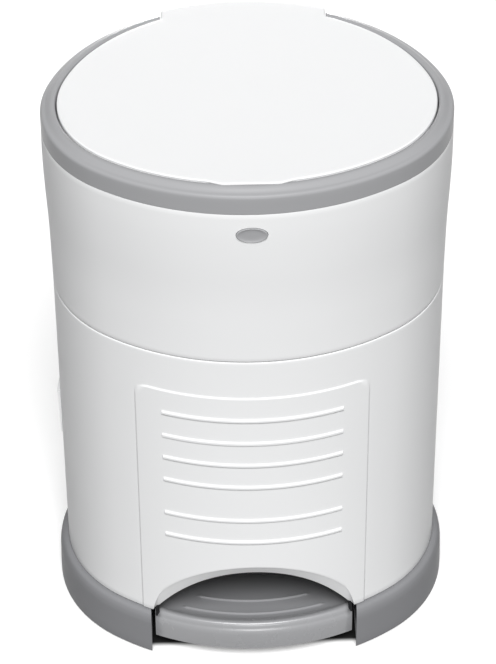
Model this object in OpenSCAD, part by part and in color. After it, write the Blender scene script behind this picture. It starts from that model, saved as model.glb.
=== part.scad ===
/* [Outline] */
// Half width of the collar
half_w = 145; // [140:1:150]
// Distance of the side arcs' centres from the middle line
side_x = 43.2; // [40.8:2.4:45.6]
// How far the foot of the base stands out past the collar
base_out = 5; // [4:0.5:6]
// How far the lower body lies inside the collar's outline
body_in = 2.3; // [2:0.1:2.6]
// Wall thickness of the body shells
wall = 3; // [2.6:0.1:3.2]

/* [Heights] */
// Height of the closed bin
top_z = 435; // [432:1:438]
// Seam between the lower and the upper body
seam_z = 288.8; // [287:0.1:290]
// Top of the base
base_z = 38; // [37.5:0.5:38.5]
// Height of the feet
foot_z = 4; // [3:0.5:5]

/* [Collar and lid] */
// Height of the collar's outer face and shoulder
collar_h = 18.5; // [17:0.5:20]
// Width of the collar's top band
band_w = 10.9; // [9:0.1:12]
// Gap between the collar and the lid
lid_gap = 1; // [0.8:0.1:1.4]
// Half width of the lid's tongue between the collar's rear ends
tongue_x = 60; // [54:1:64]
// Length of the lid's lift lever
lug_r = 18.3; // [17.5:0.1:19]

/* [Throat] */
// Front to back place of the throat's centre
throat_y = -14; // [-16:1:-12]
// Radius of the throat
throat_r = 60; // [56:1:61]
// Outer radius of the cassette
cassette_r = 100; // [96:1:101]
// Radius of the hole through the cassette
cassette_bore_r = 80; // [79:1:84]
// Height of the cassette
cassette_h = 43.7; // [38:0.1:44]

/* [Door] */
// Angle from the side at which the door's hinge stands
hinge_angle = 20; // [18:1:24]
// Radius of the arch over the pedal
arch_r = 80; // [78:1:82]
// Height of the arch's centre
arch_z = 14; // [12:1:16]
// Half width of the raised panel
panel_x = 84; // [80:1:88]
// Top of the raised panel
panel_z = 256.5; // [250:0.5:260]
// Half length of the six ribs
rib_x = 65; // [60:1:70]
// Height of one rib
rib_h = 4; // [3:0.5:5]

/* [Pedal] */
// Half width of the pedal
pedal_x = 75; // [73:1:76]
// Half width of the gap in the base
notch_x = 78; // [77:1:80]
// Front to back place of the axle
axle_y = -58; // [-60:1:-56]
// Height of the axle
axle_z = 21; // [20:0.5:22]
// Radius of the axle
axle_r = 3; // [2.5:0.5:3.5]

/* [Lift rod] */
// Front to back place of the lift rod
rod_y = 101.5; // [101:0.5:102]
// Radius of the lift rod
rod_r = 2.5; // [2:0.5:3]
// Play of a shaft in its hole
play = 0.05; // [0.02:0.01:0.1]

/* [Button and latch] */
// Height of the button's middle
button_z = 399.7; // [398:0.1:401]
// Half height of the oval button
button_r = 5.75; // [5:0.05:6.5]
// Half length of the oval button
button_x = 10.8; // [9:0.1:12]
// Middle height of the door latch
latch_z = 158; // [150:1:165]
// Height of the door latch's tab
latch_h = 40; // [36:1:44]

/* [Hidden] */
$fn = 96;

white = "#f2f2f2";
pale = "#d9dbdc";
grey = "#9b9da0";
dark = "#5d6063";
steel = "#b9bcc0";
black = "#2b2c2e";

// The outline is an oval of four arcs. The centres of the end arcs lie on 3-4-5 and 7-24-25
// triangles, so the arcs meet smoothly and every centre and radius is a round number.
side_r = half_w - side_x;
side_y = -side_x * 5 / 24;
front_c = side_y + side_x * 4 / 3;
front_r = side_r + side_x * 5 / 3;
rear_c = side_y - side_x * 7 / 24;
rear_r = side_r + side_x * 25 / 24;
far = 250;
side_l = [-side_x, side_y];
side_rt = [side_x, side_y];
to_front_l = [-0.6, -0.8] * far;
to_front_r = [0.6, -0.8] * far;
to_rear_l = [-0.96, 0.28] * far;
to_rear_r = [0.96, 0.28] * far;

// Heights and places worked out from the driving ones
collar_z = top_z - collar_h;
ledge_z = top_z - 11.5;
lid_out = -band_w - lid_gap;
deck_z = seam_z + 11.2;
deck_t = 3;
floor_z = base_z;
floor_t = 2.5;
flange_z = floor_z + floor_t;
door_bottom = base_z + 0.8;
door_top = seam_z - 0.8;
lower_top = seam_z - 0.5;
upper_bottom = seam_z + 0.3;
post_r = 4.8;
hinge_r = side_r - body_in - 5;
hinge_x = side_x + hinge_r * cos(hinge_angle);
hinge_y = side_y + hinge_r * sin(hinge_angle);
lid_axis_y = 117;
lid_axis_z = top_z - 6.5;
lug_y = lid_axis_y - lug_r * cos(40);
lug_z = lid_axis_z - lug_r * sin(40);
nose_r = 2.5;
rod_top = lug_z - nose_r - 0.8;
shoe_h = 9;
lever_nose_r = 3.5;
lever_nose_z = 11.5;
rod_bottom = lever_nose_z + lever_nose_r + 0.7;
collar_axis_y = 126;
collar_axis_z = collar_z - 4;
collar_pin_r = 1.75;
flap_axis_x = throat_r + 4;
flap_axis_z = deck_z + deck_t + cassette_h + 3.3;
flap_pin_r = 1.5;
screw_r = 1.6;
rib_zs = [236, 215, 194.5, 173.5, 141.5, 120.5];
body_screw_xy = [[-108, 52], [108, 52], [-50, 104], [50, 104]];
hopper_screw_xy = [[-132, -9], [132, -9], [-96.5, -80], [96.5, -80], [-75, 89], [75, 89]];
foot_xy = [[-93, -84], [93, -84], [-98, 68], [98, 68], [0, 0]];

// A tall prism over a plan polygon, which picks out one stretch of the outline
module sector(points) {
    translate([0, 0, -10]) linear_extrude(600) polygon(points);
}

// Carries a profile round the outline; x is the distance out from the collar's outline, y the height
module oval_sweep(profile) {
    intersection() {
        translate([0, front_c, 0]) rotate_extrude() translate([front_r, 0]) polygon(profile);
        sector([side_l, side_l + to_front_l, side_rt + to_front_r, side_rt]);
    }
    intersection() {
        translate([0, rear_c, 0]) rotate_extrude() translate([rear_r, 0]) polygon(profile);
        sector([side_l, side_l + to_rear_l, [-far, far], [far, far], side_rt + to_rear_r, side_rt]);
    }
    intersection() {
        translate(side_l) rotate_extrude() translate([side_r, 0]) polygon(profile);
        sector([side_l, side_l + to_front_l, side_l + to_rear_l]);
    }
    intersection() {
        translate(side_rt) rotate_extrude() translate([side_r, 0]) polygon(profile);
        sector([side_rt, side_rt + to_front_r, side_rt + to_rear_r]);
    }
}

// The filled outline, moved out by a distance
module oval_2d(out) {
    for (c = [side_l, side_rt]) translate(c) circle(r = side_r + out);
    intersection() {
        translate([0, front_c]) circle(r = front_r + out);
        polygon([side_l, side_l + to_front_l, side_rt + to_front_r, side_rt, [0, side_y + 20]]);
    }
    intersection() {
        translate([0, rear_c]) circle(r = rear_r + out);
        polygon([side_l, side_l + to_rear_l, [-far, far], [far, far], side_rt + to_rear_r, side_rt,
            [0, side_y - 20]]);
    }
}

module oval_plate(out, z0, z1) {
    translate([0, 0, z0]) linear_extrude(z1 - z0) oval_2d(out);
}

// A profile turned about the front arc's centre
module front_turn(profile) {
    translate([0, front_c, 0]) rotate_extrude() translate([front_r, 0]) polygon(profile);
}

// A box given by its lowest and highest corners
module block(low, high) {
    translate(low) cube(high - low);
}

// Round bars along each axis
module bar_x(r, y, z, x0, x1) {
    translate([x0, y, z]) rotate([0, 90, 0]) cylinder(r = r, h = x1 - x0, $fn = 40);
}

module bar_y(r, x, z, y0, y1) {
    translate([x, y0, z]) rotate([-90, 0, 0]) cylinder(r = r, h = y1 - y0, $fn = 40);
}

module bar_z(r, x, y, z0, z1) {
    translate([x, y, z0]) cylinder(r = r, h = z1 - z0, $fn = 40);
}

// An upright slot-shaped bar along Y: two round ends and the box between them
module slot_bar(half_len, r, z, y0, y1) {
    for (s = [-1, 1]) bar_y(r, s * (half_len - r), z, y0, y1);
    block([-half_len + r, y0, z - r], [half_len - r, y1, z + r]);
}

// Base moulding: skirt, ledge, floor, axle ears and screw posts
base_skirt = [[base_out, 1.2], [base_out, 8], [base_out - 0.6, base_z - 8], [base_out - 1.4, base_z - 4],
    [base_out - 2.8, base_z - 1.2], [base_out - 4.8, base_z], [-19, base_z], [-19, base_z - 3],
    [base_out - 5.5, base_z - 3], [base_out - 3.4, base_z - 7], [base_out - 2.8, 8], [base_out - 2.8, 1.2]];

module base_ring() {
    color(grey) difference() {
        union() {
            difference() {
                union() {
                    oval_sweep(base_skirt);
                    oval_plate(base_out - 1.6, foot_z, foot_z + 3);
                }
                block([-notch_x, -160, 0], [notch_x, axle_y + 11, base_z + 1]);
            }
            for (s = [-1, 1]) translate([s * 82, axle_y, 0])
                block([-2.5, -7, foot_z + 1], [2.5, 7, axle_z + 7]);
            for (p = body_screw_xy) bar_z(5, p[0], p[1], foot_z + 1, base_z);
            bar_z(6, hinge_x, hinge_y, base_z - 12, base_z);
        }
        bar_x(axle_r + play, axle_y, axle_z, -90, 90);
        for (p = body_screw_xy) bar_z(screw_r + play, p[0], p[1], base_z - 13, base_z + 1);
        bar_z(2 + play, hinge_x, hinge_y, base_z - 9, base_z + 1);
    }
}

module feet() {
    color(black) for (p = foot_xy) translate([p[0], p[1], 0]) cylinder(r = 9, h = foot_z, $fn = 48);
}

module pan_screw(x, y, z, head_r, r, length) {
    bar_z(head_r, x, y, z, z + 2.2);
    bar_z(r, x, y, z - length, z + 0.5);
}

module base_screws() {
    color(steel) for (p = body_screw_xy) pan_screw(p[0], p[1], flange_z + 3, 3.2, screw_r, 15);
}

// Floor of the bag chamber, with the gap for the toe space, set back where the open door passes
module chamber_floor() {
    color(pale) difference() {
        union() {
            oval_plate(-15.5, floor_z, floor_z + floor_t);
            intersection() {
                oval_plate(-5.8, floor_z, floor_z + floor_t);
                block([-160, hinge_y + 3, floor_z - 1], [160, 160, floor_z + floor_t + 1]);
            }
        }
        block([-notch_x + 2, -160, floor_z - 1], [notch_x - 2, axle_y + 7, floor_z + floor_t + 1]);
        for (p = body_screw_xy) bar_z(screw_r + play, p[0], p[1], floor_z - 1, floor_z + floor_t + 1);
        bar_z(5, 0, rod_y, floor_z - 1, floor_z + floor_t + 1);
        bar_z(7, hinge_x, hinge_y, floor_z - 1, floor_z + floor_t + 1);
    }
}

// Vault over the toe space, shut at the back
shroud_r = arch_r + 2.5;
shroud_z = arch_z - 9.5;

module toe_shroud() {
    color(dark) intersection() {
        union() {
            difference() {
                bar_y(shroud_r, 0, shroud_z, -140, axle_y + 7, $fn = 96);
                bar_y(shroud_r - 2, 0, shroud_z, -141, axle_y + 5);
            }
            block([-84, axle_y - 34, flange_z], [84, axle_y + 7, flange_z + 2]);
        }
        difference() {
            union() {
                oval_plate(-6.4, flange_z, 120);
                block([-74.5, -112, floor_z], [74.5, axle_y + 7, flange_z + 1]);
            }
            block([-70, -160, floor_z - 1], [70, axle_y + 5, flange_z + 4]);
            difference() {
                block([-90, -112, flange_z - 1], [90, axle_y - 34, flange_z + 3]);
                bar_y(shroud_r, 0, shroud_z, -140, axle_y);
            }
        }
    }
}

module pedal_axle() {
    color(steel) bar_x(axle_r, axle_y, axle_z, -84.5, 84.5);
}

// Treadle: a curved shell turned about the front arc's centre, with side cheeks round the axle
pedal_shell = [[-3.6, 11], [-3, 20], [-3.4, 29], [-4.2, 30], [-4.6, 31], [-5, 33.6], [-7, 35], [-10, 34.6],
    [-13, 32.6], [-20, 31], [-70, 27.5], [-70, 24.5], [-20, 28], [-13, 29.6], [-8, 31.5], [-6.5, 29],
    [-6.2, 11]];

module pedal_rib(out, half_len) {
    intersection() {
        front_turn([[-out - 1.3, 29], [-out - 1.3, 31.4], [-out - 0.5, 32], [-out + 0.5, 32],
            [-out + 1.3, 31.4], [-out + 1.3, 29]]);
        block([-half_len, -130, 25], [half_len, -60, 40]);
    }
}

module pedal() {
    color(grey) difference() {
        union() {
            intersection() {
                front_turn(pedal_shell);
                block([-pedal_x, -130, 5], [pedal_x, axle_y + 6, 40]);
            }
            pedal_rib(20.3, 54);
            pedal_rib(35.7, 43);
            for (s = [-1, 1]) {
                intersection() {
                    translate([s * (pedal_x - 1.5), 0, 0]) block([-1.5, -112, 11], [1.5, axle_y + 6, 29.2]);
                    front_turn([[-5, 11], [-5, 29.5], [-110, 29.5], [-110, 11]]);
                }
                translate([s * (pedal_x - 4), 0, 0]) block([-4, axle_y - 6, axle_z - 6], [4, axle_y + 6, 27.5]);
                translate([s * 5.2, 0, 0]) block([-1.6, axle_y - 46, axle_z - 6], [1.6, axle_y + 6, 27.5]);
            }
        }
        bar_x(axle_r + play, axle_y, axle_z, -90, 90);
        for (y = [axle_y - 38, axle_y - 20]) bar_x(1.5 + play, y, 20, -8, 8);
        block([-3.4, axle_y - 16, axle_z], [3.4, axle_y + 8, axle_z + 5.6]);
    }
}

// Steel lever from the treadle to the foot of the lift rod
module pedal_lever() {
    color(steel) difference() {
        union() {
            bar_x(6.3, axle_y, axle_z - 1, -3, 3);
            bar_x(lever_nose_r, rod_y, lever_nose_z, -3, 3);
            translate([-3, 0, 0]) rotate([90, 0, 90]) linear_extrude(6) polygon([
                [axle_y - 44, 16], [axle_y - 44, 24], [axle_y, 25.5], [axle_y + 20, 24],
                [rod_y, lever_nose_z + lever_nose_r], [rod_y, lever_nose_z - lever_nose_r], [axle_y + 20, 12],
                [axle_y, 13]]);
        }
        bar_x(axle_r + play, axle_y, axle_z, -5, 5);
        for (y = [axle_y - 38, axle_y - 20]) bar_x(1.5 + play, y, 20, -5, 5);
    }
}

module lever_screws() {
    color(steel) for (y = [axle_y - 38, axle_y - 20]) {
        bar_x(1.5, y, 20, -6.8, 7.2);
        bar_x(2.8, y, 20, 6.85, 8.8);
    }
}

module push_rod() {
    color(steel) bar_z(rod_r, 0, rod_y, rod_bottom, rod_top - 3);
}

module rod_shoe() {
    color(dark) difference() {
        block([-5, rod_y - 5, rod_top - shoe_h], [5, rod_y + 5, rod_top]);
        bar_z(rod_r, 0, rod_y, rod_top - shoe_h - 1, rod_top - 3);
    }
}

// Flanged bushes in the chamber floor and in the deck
module rod_bush(z, below, above) {
    difference() {
        union() {
            bar_z(4.95, 0, rod_y, z - below, z + above);
            bar_z(7, 0, rod_y, z, z + 1.5);
        }
        bar_z(rod_r + play, 0, rod_y, z - below - 1, z + above + 1);
    }
}

module rod_guides() {
    color(pale) {
        rod_bush(floor_z + floor_t, 3, 4);
        rod_bush(deck_z + deck_t, 5, 4);
    }
}

// Trough that keeps the bag off the lift rod
module rod_cover() {
    color(white) difference() {
        block([-10, rod_y - 9.5, flange_z + 3.1], [10, rod_y + 17.7, lower_top - 3.1]);
        block([-8, rod_y - 7.5, flange_z], [8, rod_y + 25, lower_top]);
    }
}

// A plan wedge between two angles about the right side arc's centre, as seen from the hinge
module hinge_side(from, to, z0, z1) {
    translate([side_x, side_y, z0]) linear_extrude(z1 - z0)
        polygon([[0, 0], 180 * [cos(from), sin(from)], 180 * [cos((from + to) / 2), sin((from + to) / 2)],
            180 * [cos(to), sin(to)]]);
}

// Everything behind the door's seams: from the jamb by the hinge round the rear to the left seam
jamb_angle = hinge_angle + 3.6;
left_angle = hinge_angle + 0.5;

module rear_region(z0, z1, right, left) {
    hinge_side(right, 90, z0, z1);
    mirror([1, 0, 0]) hinge_side(left, 90, z0, z1);
    block([-side_x - 1, side_y, z0], [side_x + 1, 160, z1]);
}

module front_region(z0, z1) {
    hinge_side(-89.9, hinge_angle, z0, z1);
    mirror([1, 0, 0]) hinge_side(-89.9, hinge_angle, z0, z1);
    block([-side_x - 1, -160, z0], [side_x + 1, side_y, z1]);
}

lower_wall = [[-body_in, base_z], [-body_in, lower_top], [-20, lower_top], [-20, lower_top - 3],
    [-body_in - wall, lower_top - 3], [-body_in - wall, flange_z + 3], [-19, flange_z + 3], [-19, flange_z],
    [-body_in - wall, flange_z], [-body_in - wall, base_z]];

module lower_body() {
    color(white) difference() {
        union() {
            intersection() {
                oval_sweep(lower_wall);
                rear_region(base_z - 1, lower_top + 1, jamb_angle, left_angle);
            }
            strike();
        }
        for (p = body_screw_xy) {
            bar_z(screw_r + play, p[0], p[1], flange_z - 1, flange_z + 4);
            bar_z(screw_r + play, p[0], p[1], lower_top - 4, lower_top + 1);
        }
        bar_z(8, 0, rod_y, flange_z - 1, lower_top + 1);
    }
}

// Block behind the left seam that the door latch hooks on
latch_x = -half_w + 12.5;
strike_y = 32;

module strike() {
    block([latch_x - 0.3, strike_y - 4, latch_z - 13], [latch_x + 6, strike_y, latch_z + 13]);
}

module body_screws() {
    color(steel) for (p = body_screw_xy) translate([0, 0, 2 * (lower_top - 3)]) mirror([0, 0, 1])
        pan_screw(p[0], p[1], lower_top - 3, 3.2, screw_r, 13);
}

upper_wall = [[-body_in, upper_bottom], [-body_in + 0.1, 300], [-body_in + 0.6, 335], [-1.2, 350],
    [-0.5, 365], [0, 380], [0.3, 395], [0.3, 404], [0, collar_z - 0.5], [-2.95, collar_z - 0.5],
    [-2.95, collar_z + 3], [-5, collar_z + 3], [-5, 412], [-2.5, 407], [-2.5, 395], [-2.8, 380],
    [-3.3, 365], [-4, 350], [-body_in - 2.2, 335], [-body_in - 2.7, 300], [-body_in - 2.7, upper_bottom]];

// Bracket that carries the springs of the button
bracket_y = -115;

module button_bracket() {
    difference() {
        block([-21.5, bracket_y, button_z - 10], [21.5, bracket_y + 2, button_z + 10]);
        block([-11.2, bracket_y - 1, button_z - 4.2], [11.2, bracket_y + 3, button_z + 4.2]);
    }
    for (s = [-1, 1]) translate([s * 20.3, 0, button_z])
        block([-1.2, bracket_y - 8.2, -10], [1.2, bracket_y + 2, 10]);
}

module upper_body() {
    color(white) difference() {
        union() {
            oval_sweep(upper_wall);
            difference() {
                oval_plate(-4, deck_z, deck_z + deck_t);
                bar_z(cassette_bore_r - 1, 0, throat_y, deck_z - 1, deck_z + 5, $fn = 96);
                bar_z(5, 0, rod_y, deck_z - 1, deck_z + 5);
            }
            difference() {
                bar_z(cassette_r + 3, 0, throat_y, deck_z + 1, deck_z + 9, $fn = 96);
                bar_z(cassette_r + 1, 0, throat_y, deck_z, deck_z + 10, $fn = 96);
            }
            for (p = body_screw_xy) bar_z(5, p[0], p[1], lower_top, deck_z + 1);
            bar_z(6.5, hinge_x, hinge_y, upper_bottom, deck_z + 1);
            button_bracket();
            for (s = [-1, 1]) translate([s * 25, 0, 0]) {
                bar_x(3.5, collar_axis_y, collar_axis_z, -5, 5);
                block([-5, collar_axis_y - 6, collar_axis_z - 3.5], [5, collar_axis_y, collar_axis_z + 2]);
            }
        }
        for (p = body_screw_xy) bar_z(screw_r + play, p[0], p[1], lower_top - 1, lower_top + 12);
        bar_z(2 + play, hinge_x, hinge_y, upper_bottom - 1, deck_z);
        slot_bar(button_x + 0.3, button_r + 0.3, button_z, -130, bracket_y - 3);
        bar_x(collar_pin_r + play, collar_axis_y, collar_axis_z, -40, 40);
        block([-20.2, 114, collar_axis_z - 4.5], [20.2, 140, collar_z + 5]);
        block([-tongue_x - 5, 95, collar_z - 0.4], [tongue_x + 5, 140, collar_z + 5]);
    }
}

// Ring of folded film: an open-topped tray and the pack in it
cassette_z = deck_z + deck_t;

module cassette() {
    color(pale) difference() {
        bar_z(cassette_r, 0, throat_y, cassette_z, cassette_z + cassette_h, $fn = 96);
        bar_z(cassette_bore_r, 0, throat_y, cassette_z - 1, cassette_z + cassette_h + 1, $fn = 96);
        difference() {
            bar_z(cassette_r - 2, 0, throat_y, cassette_z + 2, cassette_z + cassette_h + 1, $fn = 96);
            bar_z(cassette_bore_r + 2, 0, throat_y, cassette_z, cassette_z + cassette_h + 2, $fn = 96);
        }
    }
}

module film_pack() {
    color("#e8eef2") difference() {
        bar_z(cassette_r - 2.5, 0, throat_y, cassette_z + 2, cassette_z + cassette_h - 6, $fn = 96);
        bar_z(cassette_bore_r + 2.5, 0, throat_y, cassette_z + 1, cassette_z + cassette_h, $fn = 96);
    }
}

// Door: skin with the raised panel and ribs, inner rims, hinge post and the arch over the pedal
door_wall = [[-body_in, door_bottom], [-body_in, door_top], [-13, door_top], [-13, door_top - 3],
    [-body_in - wall, door_top - 3], [-body_in - wall, door_bottom]];
door_rim = [[-body_in - wall + 1, door_bottom + 6], [-body_in - wall + 1, door_bottom + 9],
    [-12, door_bottom + 9], [-12, door_bottom + 6]];

module raised_panel() {
    corner = 10;
    intersection() {
        oval_sweep([[-body_in - 1, door_bottom], [-body_in - 1, panel_z], [-body_in + 0.8, panel_z - 1],
            [-body_in + 0.8, door_bottom]]);
        union() {
            block([-panel_x, -160, door_bottom - 1], [panel_x, -60, panel_z - corner]);
            block([-panel_x + corner, -160, door_bottom - 1], [panel_x - corner, -60, panel_z]);
            for (s = [-1, 1]) bar_y(corner, s * (panel_x - corner), panel_z - corner, -160, -60);
        }
    }
}

module door_ribs() {
    out = -body_in + 0.8;
    for (z = rib_zs) intersection() {
        oval_sweep([[out - 1, z - rib_h / 2], [out, z - rib_h / 2], [out + 0.9, z - rib_h / 4],
            [out + 0.9, z + rib_h / 4], [out, z + rib_h / 2], [out - 1, z + rib_h / 2]]);
        slot_bar(rib_x, rib_h / 2, z, -160, -60);
    }
}

// Angle bracket behind the latch that its spring bears on
module spring_bracket() {
    block([latch_x + 10.5, -19.5, latch_z - 9], [latch_x + 12.5, 5, latch_z + 9]);
    block([latch_x - 7, -19.5, latch_z - 9], [latch_x + 12.5, -17.5, latch_z + 9]);
}

module front_door() {
    color(white) difference() {
        union() {
            intersection() {
                union() {
                    oval_sweep(door_wall);
                    difference() {
                        oval_sweep(door_rim);
                        block([-arch_r - 4, -140, door_bottom], [arch_r + 4, 0, door_bottom + 20]);
                    }
                }
                front_region(door_bottom - 1, door_top + 1);
            }
            raised_panel();
            door_ribs();
            bar_z(post_r, hinge_x, hinge_y, door_bottom, door_top);
            spring_bracket();
        }
        intersection() {
            bar_y(arch_r, 0, arch_z, -160, -60, $fn = 96);
            bar_y(arch_r + 4.3, 0, shroud_z, -160, -60, $fn = 96);
        }
        difference() {
            bar_y(arch_r, 0, arch_z, -160, -60, $fn = 96);
            oval_plate(-body_in - 1.2, 0, 120);
        }
        for (z = [door_bottom - 1, door_top - 14]) bar_z(2 + play, hinge_x, hinge_y, z, z + 15);
        block([-160, -12.5, latch_z - latch_h / 2 - 0.5], [latch_x - 1, 16.5, latch_z + latch_h / 2 + 0.5]);
    }
}

module door_pins() {
    color(steel) {
        bar_z(2, hinge_x, hinge_y, base_z - 8, door_bottom + 13);
        bar_z(2, hinge_x, hinge_y, door_top - 13, deck_z - 1);
    }
}

// Finger tab through the door's left side, its flange, and an arm that hooks behind the strike
module door_latch() {
    color(white) {
        intersection() {
            block([-half_w - 1, -12, latch_z - latch_h / 2], [latch_x - 1, 16, latch_z + latch_h / 2]);
            oval_plate(0, latch_z - latch_h, latch_z + latch_h);
        }
        block([latch_x - 2, -16, latch_z - latch_h / 2 - 4], [latch_x, 20, latch_z + latch_h / 2 + 4]);
        block([latch_x - 1, 9, latch_z - 8], [latch_x + 8.9, 13, latch_z + 8]);
        block([latch_x + 6.4, 9, latch_z - 8], [latch_x + 8.9, strike_y + 3.5, latch_z + 8]);
        block([latch_x + 4.3, strike_y + 0.5, latch_z - 8], [latch_x + 7, strike_y + 3.5, latch_z + 8]);
    }
}

module latch_spring() {
    color(steel) difference() {
        bar_x(4, -4, latch_z, latch_x + 0.1, latch_x + 10.4);
        bar_x(3.2, -4, latch_z, latch_x - 1, latch_x + 12);
    }
}

// Guarded cutter on the inside of the door
module cutter_housing() {
    color(dark) difference() {
        intersection() {
            block([-28, -125, door_top - 26], [28, -108, door_top - 6]);
            oval_plate(-body_in - wall, door_top - 30, door_top);
        }
        block([-22, -114.6, door_top - 27], [22, -113.6, door_top - 10]);
        block([-20, -116.5, door_top - 27], [20, -111.5, door_top - 18]);
    }
}

module cutter_blade() {
    color(steel) block([-21.5, -114.4, door_top - 22], [21.5, -113.8, door_top - 10.5]);
}

// Collar: rolled rim with a ledge for the hopper, cut at the rear for the lid's tongue
hopper_z = ledge_z - 2.5;
gap_x = tongue_x + 1;
rim_top = [[0, top_z - 6.5], [-0.55, top_z - 4.7], [-1.8, top_z - 3.8], [-3.6, top_z - 3.3], [-5.9, top_z - 1.6],
    [-7.6, top_z - 0.7], [-band_w + 1.2, top_z - 0.5], [-band_w, top_z - 1.4]];
collar_rim = concat([[0, collar_z]], rim_top, [[-band_w, ledge_z], [-18, ledge_z], [-18, hopper_z],
    [-band_w + 2.5, hopper_z], [-band_w + 2.5, top_z - 3.4], [-7, top_z - 3.8], [-4.6, top_z - 5.6],
    [-2.6, top_z - 6.8], [-2.6, collar_z]]);
end_cap = concat([[0, hopper_z - 2]], rim_top, [[-band_w, hopper_z], [-8.9, hopper_z], [-8.9, hopper_z - 2]]);

module collar() {
    color(grey) difference() {
        union() {
            difference() {
                oval_sweep(collar_rim);
                block([-gap_x, 80, hopper_z - 0.5], [gap_x, 150, top_z + 1]);
            }
            for (s = [-1, 1]) intersection() {
                oval_sweep(end_cap);
                translate([s * (gap_x + 1), 0, 0]) block([-1, 80, hopper_z - 3], [1, 130, top_z + 1]);
            }
            intersection() {
                oval_sweep([[-0.5, hopper_z - 2.5], [-0.5, hopper_z], [-8.9, hopper_z], [-8.9, hopper_z - 2.5]]);
                block([-gap_x - 1, 80, hopper_z - 3], [gap_x + 1, 130, hopper_z + 1]);
            }
            for (s = [-1, 1]) translate([s * 25.5, 0, 0]) {
                bar_x(2.8, lid_axis_y, lid_axis_z, -2.5, 2.5);
                block([-2.5, lid_axis_y - 2.5, hopper_z - 2], [2.5, lid_axis_y + 0.5, lid_axis_z]);
            }
            bar_x(3.5, collar_axis_y, collar_axis_z, -19.5, 19.5);
            block([-19.5, collar_axis_y - 3.4, collar_axis_z], [19.5, collar_axis_y + 2, collar_z + 2.3]);
        }
        bar_x(1.5 + play, lid_axis_y, lid_axis_z, -35, 35);
        bar_x(collar_pin_r + play, collar_axis_y, collar_axis_z, -40, 40);
        for (p = hopper_screw_xy) bar_z(1.3 + play, p[0], p[1], hopper_z - 1, ledge_z - 0.6);
        lip_cut(0.8, -8.5, top_z - 2.2);
    }
}

// Plan of the lid's front lip, grown by a margin, as far as an outline, from a height upwards
module lip_cut(grow, out, z) {
    intersection() {
        translate([0, 0, z]) linear_extrude(8) polygon([[-29.7 - grow, -110.5], [-19.4 - grow, -114.8 - grow],
            [19.4 + grow, -114.8 - grow], [29.7 + grow, -110.5], [29.7, -100], [-29.7, -100]]);
        oval_plate(out, z - 1, z + 9);
    }
}

// Hopper: flange under the ledge, oval bowl, cone and throat, with lugs for the flaps
bowl_z = ledge_z - 27;
// The chute clears the raised rod shoe also while the collar is tipped back
chute_y = rod_y - 13.6;
tube_z = flap_axis_z + 3.5;

module hopper() {
    color(pale) difference() {
        union() {
            oval_sweep([[-9, hopper_z], [-9, hopper_z - 2.5], [-24, hopper_z - 2.5], [-30, bowl_z],
                [-40, bowl_z], [-40, bowl_z + 2.5], [-32.2, bowl_z + 2.5], [-26.6, hopper_z]]);
            difference() {
                oval_plate(-38, bowl_z, bowl_z + 2.5);
                bar_z(75, 0, throat_y, bowl_z - 1, bowl_z + 4, $fn = 96);
            }
            difference() {
                union() {
                    translate([0, throat_y, tube_z + 6]) cylinder(r1 = throat_r + 2.5, r2 = 78, h = bowl_z - tube_z - 5);
                    bar_z(throat_r + 2.5, 0, throat_y, tube_z, tube_z + 6, $fn = 96);
                }
                translate([0, throat_y, tube_z + 6]) cylinder(r1 = throat_r, r2 = 75.6, h = bowl_z - tube_z - 4.9);
                bar_z(throat_r, 0, throat_y, tube_z - 1, tube_z + 7, $fn = 96);
                block([-90, -110, bowl_z + 1], [90, 90, bowl_z + 9]);
            }
            intersection() {
                block([-11.5, chute_y - 2.5, bowl_z], [11.5, rod_y + 5, hopper_z]);
                oval_plate(-20, bowl_z - 1, hopper_z + 1);
            }
            for (sx = [-1, 1], sy = [-1, 1]) difference() {
                translate([sx * 62, throat_y + sy * 25, 0]) block([-5.2, -2, flap_axis_z - 3.2], [5.2, 2, tube_z + 8]);
                bar_z(throat_r + 0.1, 0, throat_y, flap_axis_z - 5, tube_z + 20, $fn = 96);
            }
        }
        block([-9, chute_y, bowl_z - 1], [9, rod_y + 25, hopper_z + 1]);
        block([-9, -140, hopper_z - 3], [9, -104, hopper_z + 1]);
        for (s = [-1, 1]) bar_y(flap_pin_r + play, s * flap_axis_x, flap_axis_z, throat_y - 28, throat_y + 28);
        for (p = hopper_screw_xy) bar_z(1.3 + play, p[0], p[1], hopper_z - 3, hopper_z + 1);
    }
}

module hopper_screws() {
    color(steel) for (p = hopper_screw_xy) translate([0, 0, 2 * (hopper_z - 2.5)]) mirror([0, 0, 1])
        pan_screw(p[0], p[1], hopper_z - 2.5, 2.6, 1.3, 4);
}

// Hook that the button's ledge holds down
module collar_hook() {
    color(dark) {
        block([-6, -116, hopper_z - 2.5], [6, -107.5, hopper_z]);
        block([-6, -112, button_z - 8.5], [6, -109, hopper_z - 2]);
        block([-5, -110, button_z - 6.5], [5, -105.2, button_z - 3.1]);
    }
}

module collar_pin() {
    color(steel) bar_x(collar_pin_r, collar_axis_y, collar_axis_z, -30, 30);
}

// Half-round trap flap with its barrel; side is 1 on the right and -1 on the left
module flap(side) {
    difference() {
        union() {
            intersection() {
                bar_z(throat_r + 0.5, 0, throat_y, flap_axis_z, flap_axis_z + 2.5, $fn = 96);
                translate([side * 50.6, throat_y, flap_axis_z]) cube([100, 140, 10], center = true);
            }
            translate([side * (flap_axis_x - 7), throat_y - 4, flap_axis_z + 1.25])
                cube([14, 36, 2.5], center = true);
            bar_y(3, side * flap_axis_x, flap_axis_z, throat_y - 22, throat_y + 14);
        }
        bar_y(flap_pin_r + play, side * flap_axis_x, flap_axis_z, throat_y - 30, throat_y + 30);
        translate([side * 60, throat_y + 19, flap_axis_z]) cube([8, 9, 10], center = true);
    }
}

module flap_left() {
    color(pale) flap(-1);
}

module flap_right() {
    color(pale) flap(1);
}

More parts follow.
